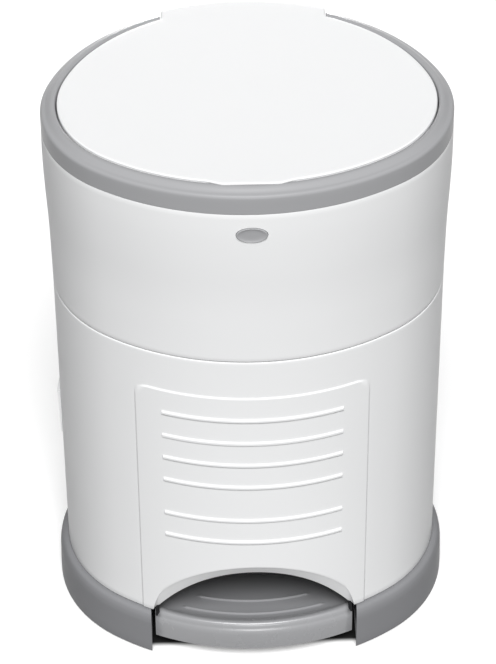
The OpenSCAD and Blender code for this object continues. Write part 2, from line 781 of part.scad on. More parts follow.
module flap_pins() {
    color(steel) for (s = [-1, 1]) bar_y(flap_pin_r, s * flap_axis_x, flap_axis_z, throat_y - 27, throat_y + 27);
}

module flap_springs() {
    color(steel) for (s = [-1, 1]) difference() {
        bar_y(2.7, s * flap_axis_x, flap_axis_z, throat_y + 14.6, throat_y + 22.6);
        bar_y(flap_pin_r + 0.1, s * flap_axis_x, flap_axis_z, throat_y + 14, throat_y + 23);
    }
}

// Oval button with the frame that carries the catch
module release_button() {
    color(grey) {
        slot_bar(button_x, button_r, button_z, -126.4, -120);
        block([-18, -121.2, button_z - 5], [18, -119.4, button_z + 5]);
        for (s = [-1, 1]) translate([s * 9.3, 0, button_z]) block([-1.3, -120, -3.2], [1.3, -102, 3.2]);
        block([-10.6, -104.5, button_z - 3.2], [10.6, -102, button_z + 3.2]);
        block([-5, -106.5, button_z - 2.7], [5, -104, button_z - 0.2]);
    }
}

module button_springs() {
    color(steel) for (s = [-1, 1]) difference() {
        bar_y(2.4, s * 15, button_z, -119.3, bracket_y - 0.1);
        bar_y(1.7, s * 15, button_z, -120, bracket_y + 1);
    }
}

// Lid: flat cover with a turned-down rim, a tongue to the rear outline and a lip at the front
lid_t = 2.6;
lid_rim = [[lid_out, top_z - 8], [lid_out, top_z - 1.2], [lid_out - 1.3, top_z - 0.2], [lid_out - 8, top_z],
    [lid_out - 12, top_z], [lid_out - 12, top_z - lid_t], [lid_out - 2.3, top_z - lid_t],
    [lid_out - 2.3, top_z - 8]];
tongue_rim = [[-1.2, top_z - 6], [-1.2, top_z - 1.2], [-2.5, top_z - 0.2], [-9, top_z], [-30, top_z],
    [-30, top_z - lid_t], [-2.2, top_z - lid_t], [-2.2, top_z - 6]];

module lid_cover() {
    color(white) difference() {
        union() {
            difference() {
                oval_sweep(lid_rim);
                block([-tongue_x, 85, top_z - 9], [tongue_x, 130, top_z + 1]);
            }
            oval_plate(lid_out - 11, top_z - lid_t, top_z);
            intersection() {
                oval_sweep(tongue_rim);
                block([-tongue_x, 80, top_z - 9], [tongue_x, 130, top_z + 1]);
            }
            bar_x(6, lid_axis_y, lid_axis_z, -22, 22);
            lip();
        }
        bar_x(1.5 + play, lid_axis_y, lid_axis_z, -35, 35);
    }
}

module lip() {
    intersection() {
        lip_cut(0, -9.3, top_z - 1.6);
        block([-40, -125, top_z - 3], [40, -90, top_z]);
    }
}

module lid_liner() {
    color(pale) {
        difference() {
            oval_plate(-19, top_z - 9, top_z - 2.7);
            oval_plate(-22, top_z - 10, top_z - 5.2);
        }
        bar_x(nose_r, lug_y, lug_z, -4, 4);
        translate([-4, 0, 0]) rotate([90, 0, 90]) linear_extrude(8) polygon([
            [lug_y - 2.4, lug_z], [98, top_z - 10.5], [98, top_z - 5], [105, top_z - 5],
            [105, top_z - 11], [lug_y + 2.2, lug_z + 1]]);
    }
}

module lid_seal() {
    color(dark) oval_sweep([[lid_out - 2.9, top_z - 11], [lid_out - 2.9, top_z - 3.1],
        [lid_out - 7, top_z - 3.1], [lid_out - 7, top_z - 9], [lid_out - 5.2, top_z - 11]]);
}

module lid_pin() {
    color(steel) bar_x(1.5, lid_axis_y, lid_axis_z, -28.5, 28.5);
}

base_ring();
feet();
base_screws();
chamber_floor();
toe_shroud();
pedal_axle();
pedal();
pedal_lever();
lever_screws();
push_rod();
rod_shoe();
rod_guides();
rod_cover();
lower_body();
body_screws();
upper_body();
cassette();
film_pack();
front_door();
door_pins();
door_latch();
latch_spring();
cutter_housing();
cutter_blade();
collar();
hopper();
hopper_screws();
collar_hook();
collar_pin();
flap_left();
flap_right();
flap_pins();
flap_springs();
release_button();
button_springs();
lid_cover();
lid_liner();
lid_seal();
lid_pin();
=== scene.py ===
"""Looks of an oval pedal nappy bin: smooth moulded shells, pleated film, coil springs, plastics and steel.

Lengths in the formulas are millimetres in the frame of the CAD model and become metres in build().
"""

import math

import bpy
import numpy as np
from mathutils import Matrix, Vector


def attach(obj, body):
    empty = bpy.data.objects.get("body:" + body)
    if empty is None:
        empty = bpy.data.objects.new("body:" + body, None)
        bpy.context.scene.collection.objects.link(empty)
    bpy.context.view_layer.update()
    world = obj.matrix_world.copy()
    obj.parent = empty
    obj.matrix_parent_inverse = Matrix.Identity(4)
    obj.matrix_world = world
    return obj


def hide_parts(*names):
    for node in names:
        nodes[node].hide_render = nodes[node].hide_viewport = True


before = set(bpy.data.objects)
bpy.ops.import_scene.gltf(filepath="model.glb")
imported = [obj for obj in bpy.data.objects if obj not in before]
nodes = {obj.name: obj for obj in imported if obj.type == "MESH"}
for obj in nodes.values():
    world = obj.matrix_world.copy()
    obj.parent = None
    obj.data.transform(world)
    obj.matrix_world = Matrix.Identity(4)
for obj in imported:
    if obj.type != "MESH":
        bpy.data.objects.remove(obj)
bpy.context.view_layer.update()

# The outline: two side arcs, a front arc and a rear arc that meet with the same heading
SIDE_X, SIDE_Y, SIDE_R = 43.2, -9.0, 101.8
FRONT_C, FRONT_R = 48.6, 173.8
REAR_C, REAR_R = -21.6, 146.8
RIGHT_FRONT = math.asin(-0.8)
RIGHT_REAR = math.asin(0.28)
QUARTER, HALF, TURN = math.pi / 2, math.pi, 2 * math.pi

# Heights and distances from the outline, as in the CAD source
TOP, SEAM, BASE_TOP = 435.0, 288.8, 38.0
COLLAR_FOOT = 416.5
BODY_OUT, WALL = -2.3, 3.0
DOOR_LOW, DOOR_HIGH = 38.8, 288.0
LOWER_TOP, UPPER_LOW = 288.3, 289.1
DECK = 300.0
THROAT_Y = -14.0
HINGE = (132.001, 23.321)
LATCH_Z = 158.0
BUTTON_Z = 399.7
ROD_Y = 101.5
SCREW_XY = ((-108, 52), (108, 52), (-50, 104), (50, 104))


def at(heading, out, z):
    """Point of the oval: the centre of the arc that faces a heading, plus (arc radius + out) along it."""
    heading, out, z = np.broadcast_arrays(np.asarray(heading, float), np.asarray(out, float), np.asarray(z, float))
    c, s = np.cos(heading), np.sin(heading)
    front, rear = s < -0.8, s > 0.28
    cx = np.where(front | rear, 0.0, np.sign(c) * SIDE_X)
    cy = np.where(front, FRONT_C, np.where(rear, REAR_C, SIDE_Y))
    r = np.where(front, FRONT_R, np.where(rear, REAR_R, SIDE_R)) + out
    return np.stack([cx + r * c, cy + r * s, z], -1)


def front_heading(x, out=0.0):
    """Heading of the front arc's point whose distance from the middle plane is x."""
    return -QUARTER + np.arcsin(np.asarray(x, float) / (FRONT_R + out))


def rear_heading(x, out=0.0):
    """Heading of the rear arc's point whose distance from the middle plane is x."""
    return QUARTER - np.arcsin(np.asarray(x, float) / (REAR_R + out))


def span(start, stop, step=2.4, extra=()):
    """Headings from start to stop, spaced evenly along the outline's length, with extra ones put in."""
    joints, lengths = [-TURN - HALF - RIGHT_FRONT], [0.0]
    arcs = ((QUARTER + RIGHT_FRONT) * 2, FRONT_R), (RIGHT_REAR - RIGHT_FRONT, SIDE_R), \
        (HALF - 2 * RIGHT_REAR, REAR_R), (RIGHT_REAR - RIGHT_FRONT, SIDE_R)
    for _ in range(3):
        for angle, radius in arcs:
            joints.append(joints[-1] + angle)
            lengths.append(lengths[-1] + angle * radius)
    a, b = np.interp([start, stop], joints, lengths)
    count = max(2, int(round((b - a) / step)) + 1)
    found = np.interp(np.linspace(a, b, count), lengths, joints)
    extra = np.asarray([e for e in extra if start < e < stop], float)
    if len(extra):
        near = np.abs(found[:, None] - extra[None, :]).min(1) < 0.4 * step / SIDE_R
        near[[0, -1]] = False
        found = np.sort(np.concatenate([found[~near], extra]))
    return found


def build(name, points, faces, body, stands_for=(), slot=None, material=None, bevel=0.0, sharp=32.0):
    """Puts points (millimetres) and faces into a mesh, turns a closed shell outwards, and lets it ride."""
    points = np.asarray(points, float).reshape(-1, 3) / 1000.0
    faces = [list(map(int, f)) for f in faces]
    volume = 0.0
    for f in faces:
        corner = points[f]
        fan = np.cross(corner[1:-1], corner[2:])
        volume += float((fan @ corner[0]).sum())
    if volume < 0:
        faces = [f[::-1] for f in faces]
    mesh = bpy.data.meshes.new(name)
    mesh.from_pydata(points.tolist(), [], faces)
    mesh.validate()
    mesh.update()
    mesh.shade_smooth()
    piece = bpy.data.objects.new(name, mesh)
    bpy.context.scene.collection.objects.link(piece)
    if bevel:
        soften = piece.modifiers.new("edge", "BEVEL")
        soften.width = bevel / 1000.0
        soften.segments = 2
        soften.limit_method = "ANGLE"
        soften.angle_limit = math.radians(sharp)
        soften.harden_normals = True
    else:
        mesh.set_sharp_from_angle(angle=math.radians(sharp))
    if material:
        mesh.materials.append(material)
    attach(piece, body)
    if stands_for:
        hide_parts(*([stands_for] if isinstance(stands_for, str) else stands_for))
    return piece


def grid_faces(nu, nv, close_u=False, close_v=True, caps=True, first=0):
    """Quads of an nu by nv grid of points, with the two end sections as caps."""
    index = np.arange(nu * nv).reshape(nu, nv) + first
    wrap = np.vstack([index, index[:1]]) if close_u else index
    wrap = np.hstack([wrap, wrap[:, :1]]) if close_v else wrap
    quads = np.stack([wrap[:-1, :-1], wrap[1:, :-1], wrap[1:, 1:], wrap[:-1, 1:]], -1).reshape(-1, 4)
    faces = quads.tolist()
    if caps and close_v and not close_u:
        faces.append(index[0].tolist())
        faces.append(index[-1][::-1].tolist())
    return faces


def joined(*shells):
    """Several (points, faces) shells as one."""
    points, faces, first = [], [], 0
    for p, f in shells:
        p = np.asarray(p, float).reshape(-1, 3)
        points.append(p)
        faces.extend([[i + first for i in face] for face in f])
        first += len(p)
    return np.vstack(points), faces


def outward(shell):
    """A closed shell whose signed volume, the sum of a.(b x c) over its triangles, is positive."""
    points, faces = np.asarray(shell[0], float).reshape(-1, 3), shell[1]
    volume = 0.0
    for f in faces:
        corner = points[f]
        volume += float((np.cross(corner[1:-1], corner[2:]) @ corner[0]).sum())
    return points, ([list(f)[::-1] for f in faces] if volume < 0 else faces)


def tube(grid, close_u=False, close_v=True, caps=True):
    """A grid of sections as a closed shell that faces outwards."""
    grid = np.asarray(grid, float)
    return outward((grid.reshape(-1, 3), grid_faces(*grid.shape[:2], close_u, close_v, caps)))


def sweep(profile, headings, close=False):
    """A closed (out, z) profile carried along the oval through the headings."""
    profile = np.asarray(profile, float)
    return tube(at(headings[:, None], profile[None, :, 0], profile[None, :, 1]), close_u=close)


def rounded(profile, radius=0.6, steps=3):
    """A closed profile whose corners are cut back by at most radius and joined by parabolas."""
    p = np.asarray(profile, float)
    result = []
    for i in range(len(p)):
        before, here, after = p[i - 1], p[i], p[(i + 1) % len(p)]
        a, b = before - here, after - here
        la, lb = np.hypot(*a), np.hypot(*b)
        cut = min(radius, 0.45 * la, 0.45 * lb)
        start, end = here + a / la * cut, here + b / lb * cut
        t = np.linspace(0, 1, steps + 1)[:, None]
        result.append((1 - t) ** 2 * start + 2 * t * (1 - t) * here + t ** 2 * end)
    return np.vstack(result)


def lathe(profile, centre, axis="z", count=48):
    """An (radius, height) profile turned about a line along an axis; a radius of 0 closes the pole."""
    profile = np.asarray(profile, float)
    angle = np.linspace(0, TURN, count, endpoint=False)[:, None]
    r, h = profile[None, :, 0], profile[None, :, 1]
    a, b, h = np.broadcast_arrays(r * np.cos(angle), r * np.sin(angle), h)
    order = {"z": (a, b, h), "x": (h, a, b), "y": (b, h, a)}[axis]
    grid = np.stack(order, -1) + np.asarray(centre, float)
    return welded(tube(grid, close_u=True, caps=False))


def welded(shell, nearness=1e-4):
    """Merges points that lie together, and drops faces that lose their area by it."""
    points, faces = shell
    points = np.asarray(points, float).reshape(-1, 3)
    _, first, back = np.unique(np.round(points / nearness).astype(np.int64), axis=0,
                               return_index=True, return_inverse=True)
    back = back.reshape(-1)
    kept = []
    for face in faces:
        ring = [back[i] for i in face]
        ring = [v for i, v in enumerate(ring) if v != ring[i - 1]]
        if len(ring) > 2:
            kept.append(ring)
    return points[first], kept


def block(low, high):
    """A box between two corners."""
    low, high = np.asarray(low, float), np.asarray(high, float)
    corner = np.array([[x, y, z] for x in (0, 1) for y in (0, 1) for z in (0, 1)])
    faces = [[0, 1, 3, 2], [4, 6, 7, 5], [0, 4, 5, 1], [2, 3, 7, 6], [0, 2, 6, 4], [1, 5, 7, 3]]
    return outward((low + corner * (high - low), faces))


def rod(centre, radius, start, stop, axis="z", count=40, edge=0.3):
    """A round bar with softened ends, from start to stop along an axis."""
    return lathe([(0, start), (radius - edge, start), (radius, start + edge), (radius, stop - edge),
                  (radius - edge, stop), (0, stop)], centre, axis, count)


def smooth(x, low, high):
    """0 below low, 1 above high, and a smooth step between."""
    t = np.clip((np.asarray(x, float) - low) / (high - low), 0, 1)
    return t * t * (3 - 2 * t)


# Materials

def shader(name, colour, roughness, metallic=0.0):
    """A new material with a Principled shader, and a function that adds a linked node."""
    material = bpy.data.materials.new(name)
    material.use_nodes = True
    tree = material.node_tree
    surface = next(n for n in tree.nodes if n.type == "BSDF_PRINCIPLED")
    surface.inputs["Base Color"].default_value = (*colour, 1)
    surface.inputs["Roughness"].default_value = roughness
    surface.inputs["Metallic"].default_value = metallic
    where = tree.nodes.new("ShaderNodeTexCoord").outputs["Object"]

    def add(kind, values=(), links=(), **settings):
        node = tree.nodes.new(kind)
        for key, value in settings.items():
            setattr(node, key, value)
        for key, value in dict(values).items():
            node.inputs[key].default_value = value
        for key, socket in dict(links).items():
            tree.links.new(socket, node.inputs[key])
        return node

    return material, tree, surface, where, add


def moulded(name, colour, roughness=0.42, grain=0.5, depth=0.012, cloud=0.02, scuff=0.0, shine=0.2):
    """Moulded plastic: a spark-eroded grain of the given size in millimetres, faint flow clouds and gloss patches."""
    material, tree, surface, where, add = shader(name, colour, roughness)
    surface.inputs["Specular IOR Level"].default_value = shine
    clouds = add("ShaderNodeTexNoise", {"Scale": 9.0, "Detail": 4.0, "Roughness": 0.55}, {"Vector": where})
    tint = add("ShaderNodeValToRGB", (), {"Fac": clouds.outputs["Fac"]})
    dim = [c * (1 - cloud) for c in colour]
    bright = [min(1.0, c * (1 + cloud * 0.6)) for c in colour]
    tint.color_ramp.elements[0].position = 0.3
    tint.color_ramp.elements[0].color = (*dim, 1)
    tint.color_ramp.elements[1].position = 0.7
    tint.color_ramp.elements[1].color = (*bright, 1)
    colour_out = tint.outputs["Color"]
    grains = add("ShaderNodeTexNoise", {"Scale": 1000.0 / grain, "Detail": 3.0, "Roughness": 0.6}, {"Vector": where})
    pits = add("ShaderNodeTexVoronoi", {"Scale": 620.0 / grain}, {"Vector": where}, feature="SMOOTH_F1")
    mixed = add("ShaderNodeMath", (), {0: grains.outputs["Fac"], 1: pits.outputs["Distance"]}, operation="ADD")
    if scuff:
        marks = add("ShaderNodeMapping", {"Scale": (40.0, 260.0, 40.0), "Rotation": (0.0, 0.0, 0.35)},
                    {"Vector": where})
        rubs = add("ShaderNodeTexNoise", {"Scale": 1.0, "Detail": 6.0, "Roughness": 0.7},
                   {"Vector": marks.outputs["Vector"]})
        worn = add("ShaderNodeMapRange", {"From Min": 0.56, "From Max": 0.78, "To Min": 0.0, "To Max": scuff},
                   {"Value": rubs.outputs["Fac"]})
        pale = add("ShaderNodeMix", (), {"Factor": worn.outputs["Result"]}, data_type="RGBA")
        tree.links.new(colour_out, pale.inputs[6])
        pale.inputs[7].default_value = (*[min(1.0, c * 1.35 + 0.02) for c in colour], 1)
        colour_out = pale.outputs[2]
    tree.links.new(colour_out, surface.inputs["Base Color"])
    patches = add("ShaderNodeTexNoise", {"Scale": 34.0, "Detail": 5.0, "Roughness": 0.6}, {"Vector": where})
    gloss = add("ShaderNodeMapRange", {"To Min": roughness - 0.07, "To Max": roughness + 0.07},
                {"Value": patches.outputs["Fac"]})
    tree.links.new(gloss.outputs["Result"], surface.inputs["Roughness"])
    bump = add("ShaderNodeBump", {"Strength": 0.6, "Distance": depth / 1000.0}, {"Height": mixed.outputs[0]})
    tree.links.new(bump.outputs["Normal"], surface.inputs["Normal"])
    return material


def metal(name, colour, roughness, stretch):
    """Drawn or rolled steel: fine lines along the piece, drifting gloss and a few darker spots."""
    material, tree, surface, where, add = shader(name, colour, roughness, 1.0)
    lines = add("ShaderNodeMapping", {"Scale": stretch}, {"Vector": where})
    drawn = add("ShaderNodeTexNoise", {"Scale": 1.0, "Detail": 5.0, "Roughness": 0.65},
                {"Vector": lines.outputs["Vector"]})
    gloss = add("ShaderNodeMapRange", {"To Min": roughness - 0.1, "To Max": roughness + 0.14},
                {"Value": drawn.outputs["Fac"]})
    tree.links.new(gloss.outputs["Result"], surface.inputs["Roughness"])
    spots = add("ShaderNodeTexNoise", {"Scale": 160.0, "Detail": 4.0}, {"Vector": where})
    tint = add("ShaderNodeValToRGB", (), {"Fac": spots.outputs["Fac"]})
    tint.color_ramp.elements[0].position = 0.32
    tint.color_ramp.elements[0].color = (*[c * 0.8 for c in colour], 1)
    tint.color_ramp.elements[1].position = 0.52
    tint.color_ramp.elements[1].color = (*colour, 1)
    tree.links.new(tint.outputs["Color"], surface.inputs["Base Color"])
    bump = add("ShaderNodeBump", {"Strength": 0.4, "Distance": 0.00001}, {"Height": drawn.outputs["Fac"]})
    tree.links.new(bump.outputs["Normal"], surface.inputs["Normal"])
    return material


WHITE = (0.87, 0.875, 0.88)
white = moulded("white_gloss_shell", WHITE, 0.36, grain=0.45, depth=0.006, cloud=0.008, shine=0.08)
lid_white = moulded("white_lid", WHITE, 0.4, grain=0.4, depth=0.006, cloud=0.006)
pale = moulded("pale_inner_moulding", (0.66, 0.67, 0.68), 0.48, grain=0.6, depth=0.012, cloud=0.03)
collar_grey = moulded("grey_collar", (0.375, 0.377, 0.387), 0.32, grain=0.5, depth=0.008, cloud=0.02, shine=0.12)
base_grey = moulded("grey_base", (0.245, 0.247, 0.257), 0.42, grain=0.5, depth=0.01, cloud=0.03, shine=0.05)
pedal_grey = moulded("grey_pedal", (0.31, 0.312, 0.322), 0.27, grain=0.6, depth=0.014, cloud=0.02, scuff=0.06,
                     shine=0.6)
tread_grey = moulded("grey_tread", (0.28, 0.282, 0.292), 0.42, grain=0.6, depth=0.014, cloud=0.03, shine=0.15)
button_grey = moulded("grey_button", (0.37, 0.372, 0.382), 0.34, grain=0.4, depth=0.005, cloud=0.02)
dark = moulded("dark_inner_plastic", (0.06, 0.062, 0.066), 0.5, grain=0.8, depth=0.02, cloud=0.08)
# Near-black plastic for the toe shroud: painted shade, darker than its dark plastic, standing for the shadowed gap
# under the arch
painted_shade_shroud = moulded("shroud_painted_black_shade", (0.012, 0.012, 0.013), 0.6, grain=0.8, depth=0.02, cloud=0.08, shine=0.1)
rubber = moulded("black_rubber", (0.02, 0.02, 0.022), 0.7, grain=0.9, depth=0.03, cloud=0.15)
film = moulded("folded_film", (0.72, 0.77, 0.82), 0.24, grain=2.2, depth=0.05, cloud=0.06)
steel = metal("zinc_steel", (0.55, 0.55, 0.56), 0.32, (900.0, 60.0, 900.0))
spring_steel = metal("spring_wire", (0.5, 0.5, 0.52), 0.3, (400.0, 400.0, 400.0))
blade_steel = metal("ground_blade", (0.66, 0.67, 0.68), 0.22, (60.0, 900.0, 1400.0))

BY_SLOT = {"white_shell": white, "inner_plastic": pale, "grey_plastic": base_grey, "dark_plastic": dark,
           "steel": steel, "rubber": rubber, "film": film}
for name, node in nodes.items():
    kind = node.data.materials[0].name
    finish = BY_SLOT.get(kind, pale)
    for place in node.material_slots:
        place.material = finish
nodes["cutter_blade"].material_slots[0].material = blade_steel
# The toe shroud gets the near-black painted shade in place of its dark plastic
nodes["toe_shroud"].material_slots[0].material = painted_shade_shroud


# Lid: rim, tongue to the rear and the front lip in one shell

TONGUE_X, RIM_OUT, TONGUE_OUT = 60.0, -11.9, -1.2


def lid_edge():
    """The lid's plan as one loop: the oval at RIM_OUT, stepping out to TONGUE_OUT between x = -60 and 60 at the rear.

    The raw loop is sampled every quarter millimetre and smoothed along its length, which rounds the four corners.
    """
    right, left = rear_heading(TONGUE_X, RIM_OUT), rear_heading(-TONGUE_X, RIM_OUT)
    front = at(span(left - TURN, right, 0.25), RIM_OUT, 0)
    back_right, back_left = rear_heading(TONGUE_X, TONGUE_OUT), rear_heading(-TONGUE_X, TONGUE_OUT)
    rear = at(span(back_right, back_left, 0.25), TONGUE_OUT, 0)
    loop = np.vstack([front, rear])[:, :2]
    step = np.hypot(*(np.roll(loop, -1, 0) - loop).T)
    length = np.concatenate([[0], np.cumsum(step)])
    closed = np.vstack([loop, loop[:1]])
    s = np.arange(0, length[-1], 0.25)
    even = np.stack([np.interp(s, length, closed[:, k]) for k in (0, 1)], -1)
    reach = np.arange(-16, 17)
    kernel = np.exp(-0.5 * (reach * 0.25 / 1.2) ** 2)
    kernel /= kernel.sum()
    soft = sum(w * np.roll(even, -k, 0) for k, w in zip(reach, kernel))
    ahead = np.roll(soft, -4, 0) - np.roll(soft, 4, 0)
    normal = np.stack([ahead[:, 1], -ahead[:, 0]], -1) / np.hypot(*ahead.T)[:, None]
    turn = np.abs(np.arctan2(*(np.cross(normal, np.roll(normal, -4, 0)),
                               (normal * np.roll(normal, -4, 0)).sum(1))))
    dense = np.cumsum(0.1 + np.minimum(turn * 12, 0.9))
    picks = np.unique(np.searchsorted(dense, np.arange(dense[0], dense[-1], 1.0)))
    return soft[picks], normal[picks]


def lip_reach(x, y, nx, ny):
    """How far the front lip stands out past the rim, along the rim's normal, at a rim point."""
    flat = -114.8
    slant = -110.5
    limit = np.where(np.abs(x) < 19.4, flat, flat + (np.abs(x) - 19.4) / 10.3 * (slant - flat))
    reach = (limit - y) / np.where(np.abs(ny) < 0.2, -1.0, ny)
    return np.where((np.abs(x) < 29.7) & (y < 0), np.clip(reach, 0, 3), 0)


edge_xy, edge_normal = lid_edge()
lip = lip_reach(edge_xy[:, 0], edge_xy[:, 1], edge_normal[:, 0], edge_normal[:, 1])


def lid_ring(inset, z, lip_share=0.0):
    """The lid's loop moved inwards, with a share of the lip's reach added."""
    out = -np.asarray(inset, float) + lip_share * lip
    xy = edge_xy + edge_normal * out[:, None] if np.ndim(out) else edge_xy + edge_normal * out
    return np.column_stack([xy, np.broadcast_to(z, len(xy))])


def lid_shell():
    """Rings from the middle of the top over the rim and lip, down, and back under the plate to the middle."""
    rim = lid_ring(0, 0)
    middle = np.array([0, -2.0, 0])

    def inner(share, z):
        ring = middle + (lid_ring(1.6, 0) - middle) * share
        ring[:, 2] = z
        return ring

    rings = [inner(s, TOP) for s in (0.02, 0.25, 0.5, 0.75, 0.9, 0.94)] + [inner(0.975, TOP - 0.05)]
    for k in np.linspace(0, QUARTER, 6):
        rings.append(lid_ring(1.4 * (1 - math.sin(k)), TOP - 0.1 - 1.2 * (1 - math.cos(k)), 1.0))
    rings += [lid_ring(0.1, TOP - 1.6, 1.0), lid_ring(0.3, TOP - 1.75, 0.0), lid_ring(0.0, TOP - 2.0)]
    tongue = (edge_xy[:, 1] > 95) * smooth(61.5 - np.abs(edge_xy[:, 0]), 0, 1.5)
    foot, wall = TOP - 8.0 + 2.0 * tongue, 1.6 - 0.6 * tongue
    rings += [lid_ring(0.0, foot + 0.4), lid_ring(0.3, foot), lid_ring(wall - 0.3, foot), lid_ring(wall, foot + 0.4),
              lid_ring(wall, TOP - 2.6)]
    rings += [inner(s, TOP - 2.6) for s in (0.92, 0.5, 0.02)]
    grid = np.stack(rings, 1)
    return grid


grid = lid_shell()
points, faces = tube(grid, close_u=True, close_v=False, caps=False)
count, rows = grid.shape[:2]
faces = faces + [[i * rows for i in range(count)], [i * rows + rows - 1 for i in reversed(range(count))]]
lid_barrel = rod((0, 117, 428.5), 6.0, -22, 22, "x", 40, 0.6)
build("lid_panel", *joined(outward((points, faces)), lid_barrel), "lid", "lid_cover", "white_shell", lid_white,
      sharp=40)

# Collar: rolled rim with its ledge, cut at the rear for the lid's tongue

GAP_X = 61.0
GROOVE = 1.25
LEDGE, LEDGE_LOW = 423.5, 421.0


def plane_ends(headings, outs, x, rear=True, keep=0.2):
    """Headings for every column and profile point: the first and last columns lie in the planes x = -x and x = x."""
    span_share = (headings - headings[0]) / (headings[-1] - headings[0])
    table = np.repeat(headings[:, None], len(outs), 1)
    if rear:
        first, last = rear_heading(-x, outs) - TURN, rear_heading(x, outs)
    else:
        first, last = front_heading(x, outs), front_heading(-x, outs) + TURN
    start = np.clip(1 - span_share / keep, 0, 1)[:, None]
    stop = np.clip(1 - (1 - span_share) / keep, 0, 1)[:, None]
    return table + start * (first - headings[0])[None, :] + stop * (last - headings[-1])[None, :]


def collar_top():
    """The rim's outer face, rolled crest, shallow valley, bead and inner edge, as a smooth (out, z) line."""
    knots = np.array([(0, 416.5), (0, 422), (0, 428.0), (-0.08, 429.0), (-0.38, 429.95), (-1.0, 430.7),
                      (-1.9, 431.15), (-2.8, 431.35), (-3.6, 431.65), (-4.6, 432.35), (-5.7, 433.25),
                      (-6.8, 434.0), (-7.9, 434.42), (-9.0, 434.5), (-9.9, 434.35), (-10.5, 434.0),
                      (-10.9, 433.3)])
    length = np.concatenate([[0], np.cumsum(np.hypot(*np.diff(knots, axis=0).T))])
    s = np.concatenate([np.linspace(0, length[2], 5)[:-1], np.linspace(length[2], length[-1], 40)])
    return np.stack([np.interp(s, length, knots[:, k]) for k in (0, 1)], -1)


top_line = collar_top()
under = rounded([(-10.9, 423.5), (-18, 423.5), (-18, 421), (-8.4, 421), (-8.4, 431.4), (-7, 431.0),
                 (-4.6, 429.2), (-2.6, 428.0), (-2.6, 416.5)], 0.4, 2)[1:]
rim_profile = np.vstack([top_line, [(-10.9, 425)], under])
ends = float(rear_heading(-GAP_X, -5) - TURN), float(rear_heading(GAP_X, -5))
lip_marks = [float(front_heading(s * v, -9)) for s in (-1, 1) for v in (18, 20, 22, 24, 26, 28, 29.6, 30.4, 30.8, 31.4)]
columns = span(*ends, 2.4, lip_marks)
table = plane_ends(columns, rim_profile[:, 0], GAP_X)
collar_grid = at(table, rim_profile[None, :, 0], rim_profile[None, :, 1])
x_of, z_of = collar_grid[..., 0], collar_grid[..., 2]
lip_y = np.interp(np.abs(x_of), [19.4, 29.7, 33], [-114.8, -110.5, -109.1])
groove = np.hypot(x_of, FRONT_C - lip_y) - FRONT_R + GROOVE
crest = np.arange(len(rim_profile))[None, :] < len(top_line)
moved = crest & (collar_grid[..., 1] < 0) & (rim_profile[None, :, 0] < groove) & (np.abs(x_of) < 31.5)
shifted = at(table, np.where(moved, groove, rim_profile[None, :, 0]), z_of)
collar_grid = np.where(moved[..., None], shifted, collar_grid)
rim_shell = tube(collar_grid)

bridge_profile = rounded([(-0.5, 418.5), (-0.5, 421), (-8.9, 421), (-8.9, 418.5)], 0.4, 2)
bridge = sweep(bridge_profile, span(float(rear_heading(62, -5)), float(rear_heading(-62, -5)), 2.4))
lugs = []
for side in (-1, 1):
    lugs.append(rod((side * 25.5, 117, 428.5), 2.8, -2.5, 2.5, "x", 32))
    lugs.append(block((side * 25.5 - 2.5, 114.5, 419), (side * 25.5 + 2.5, 117.5, 428.5)))
    cheek = np.array([(0, 419), (0, 428.0), (-0.38, 429.95), (-1.0, 430.7), (-2.8, 431.35), (-4.6, 432.35),
                      (-6.8, 434.0), (-9.0, 434.5), (-10.6, 434.0), (-10.6, 421), (-8.9, 421), (-8.9, 419)])
    cheek[:, 0] = np.minimum(cheek[:, 0], -0.05)
    cheek[:, 1] -= 0.08
    planes = np.array([side * (GAP_X + 0.05), side * (GAP_X + 1.2), side * (GAP_X + 2)])
    lugs.append(tube(at(rear_heading(planes[:, None], cheek[None, :, 0]), cheek[None, :, 0], cheek[None, :, 1])))
knuckle = joined(rod((0, 126, 412.5), 3.5, -19.5, 19.5, "x", 40), block((-19.5, 122.6, 412.5), (19.5, 128, 418.8)))
build("collar_rim", *joined(rim_shell, bridge, knuckle, *lugs), "collar", "collar", "grey_plastic", collar_grey,
      sharp=38)

# Upper body: flared wall with the slot of the button, deck, posts and hinge knuckles

wall_knots = np.array([(289.1, -2.3), (300, -2.2), (335, -1.7), (350, -1.2), (365, -0.5), (380, 0.0),
                       (395, 0.28), (404, 0.28), (416, 0.0)])


def wall_out(z):
    """Distance of the upper wall from the outline at a height: the knots joined by straight lines and smoothed."""
    z = np.asarray(z, float)
    shift = np.linspace(-7, 7, 15)
    reach = np.clip(z[..., None] + shift, 289.1, 416)
    return np.interp(reach, wall_knots[:, 0], wall_knots[:, 1]).mean(-1)


SLOT_HALF, SLOT_R = 11.1, 6.05
PATCH_X, PATCH_Z = 18.0, 12.0


def wall_point(x, z, depth=0.0):
    """Point of the upper wall at a distance x from the middle plane, on the front arc."""
    out = wall_out(z) - depth
    return at(front_heading(x, out), out, z)


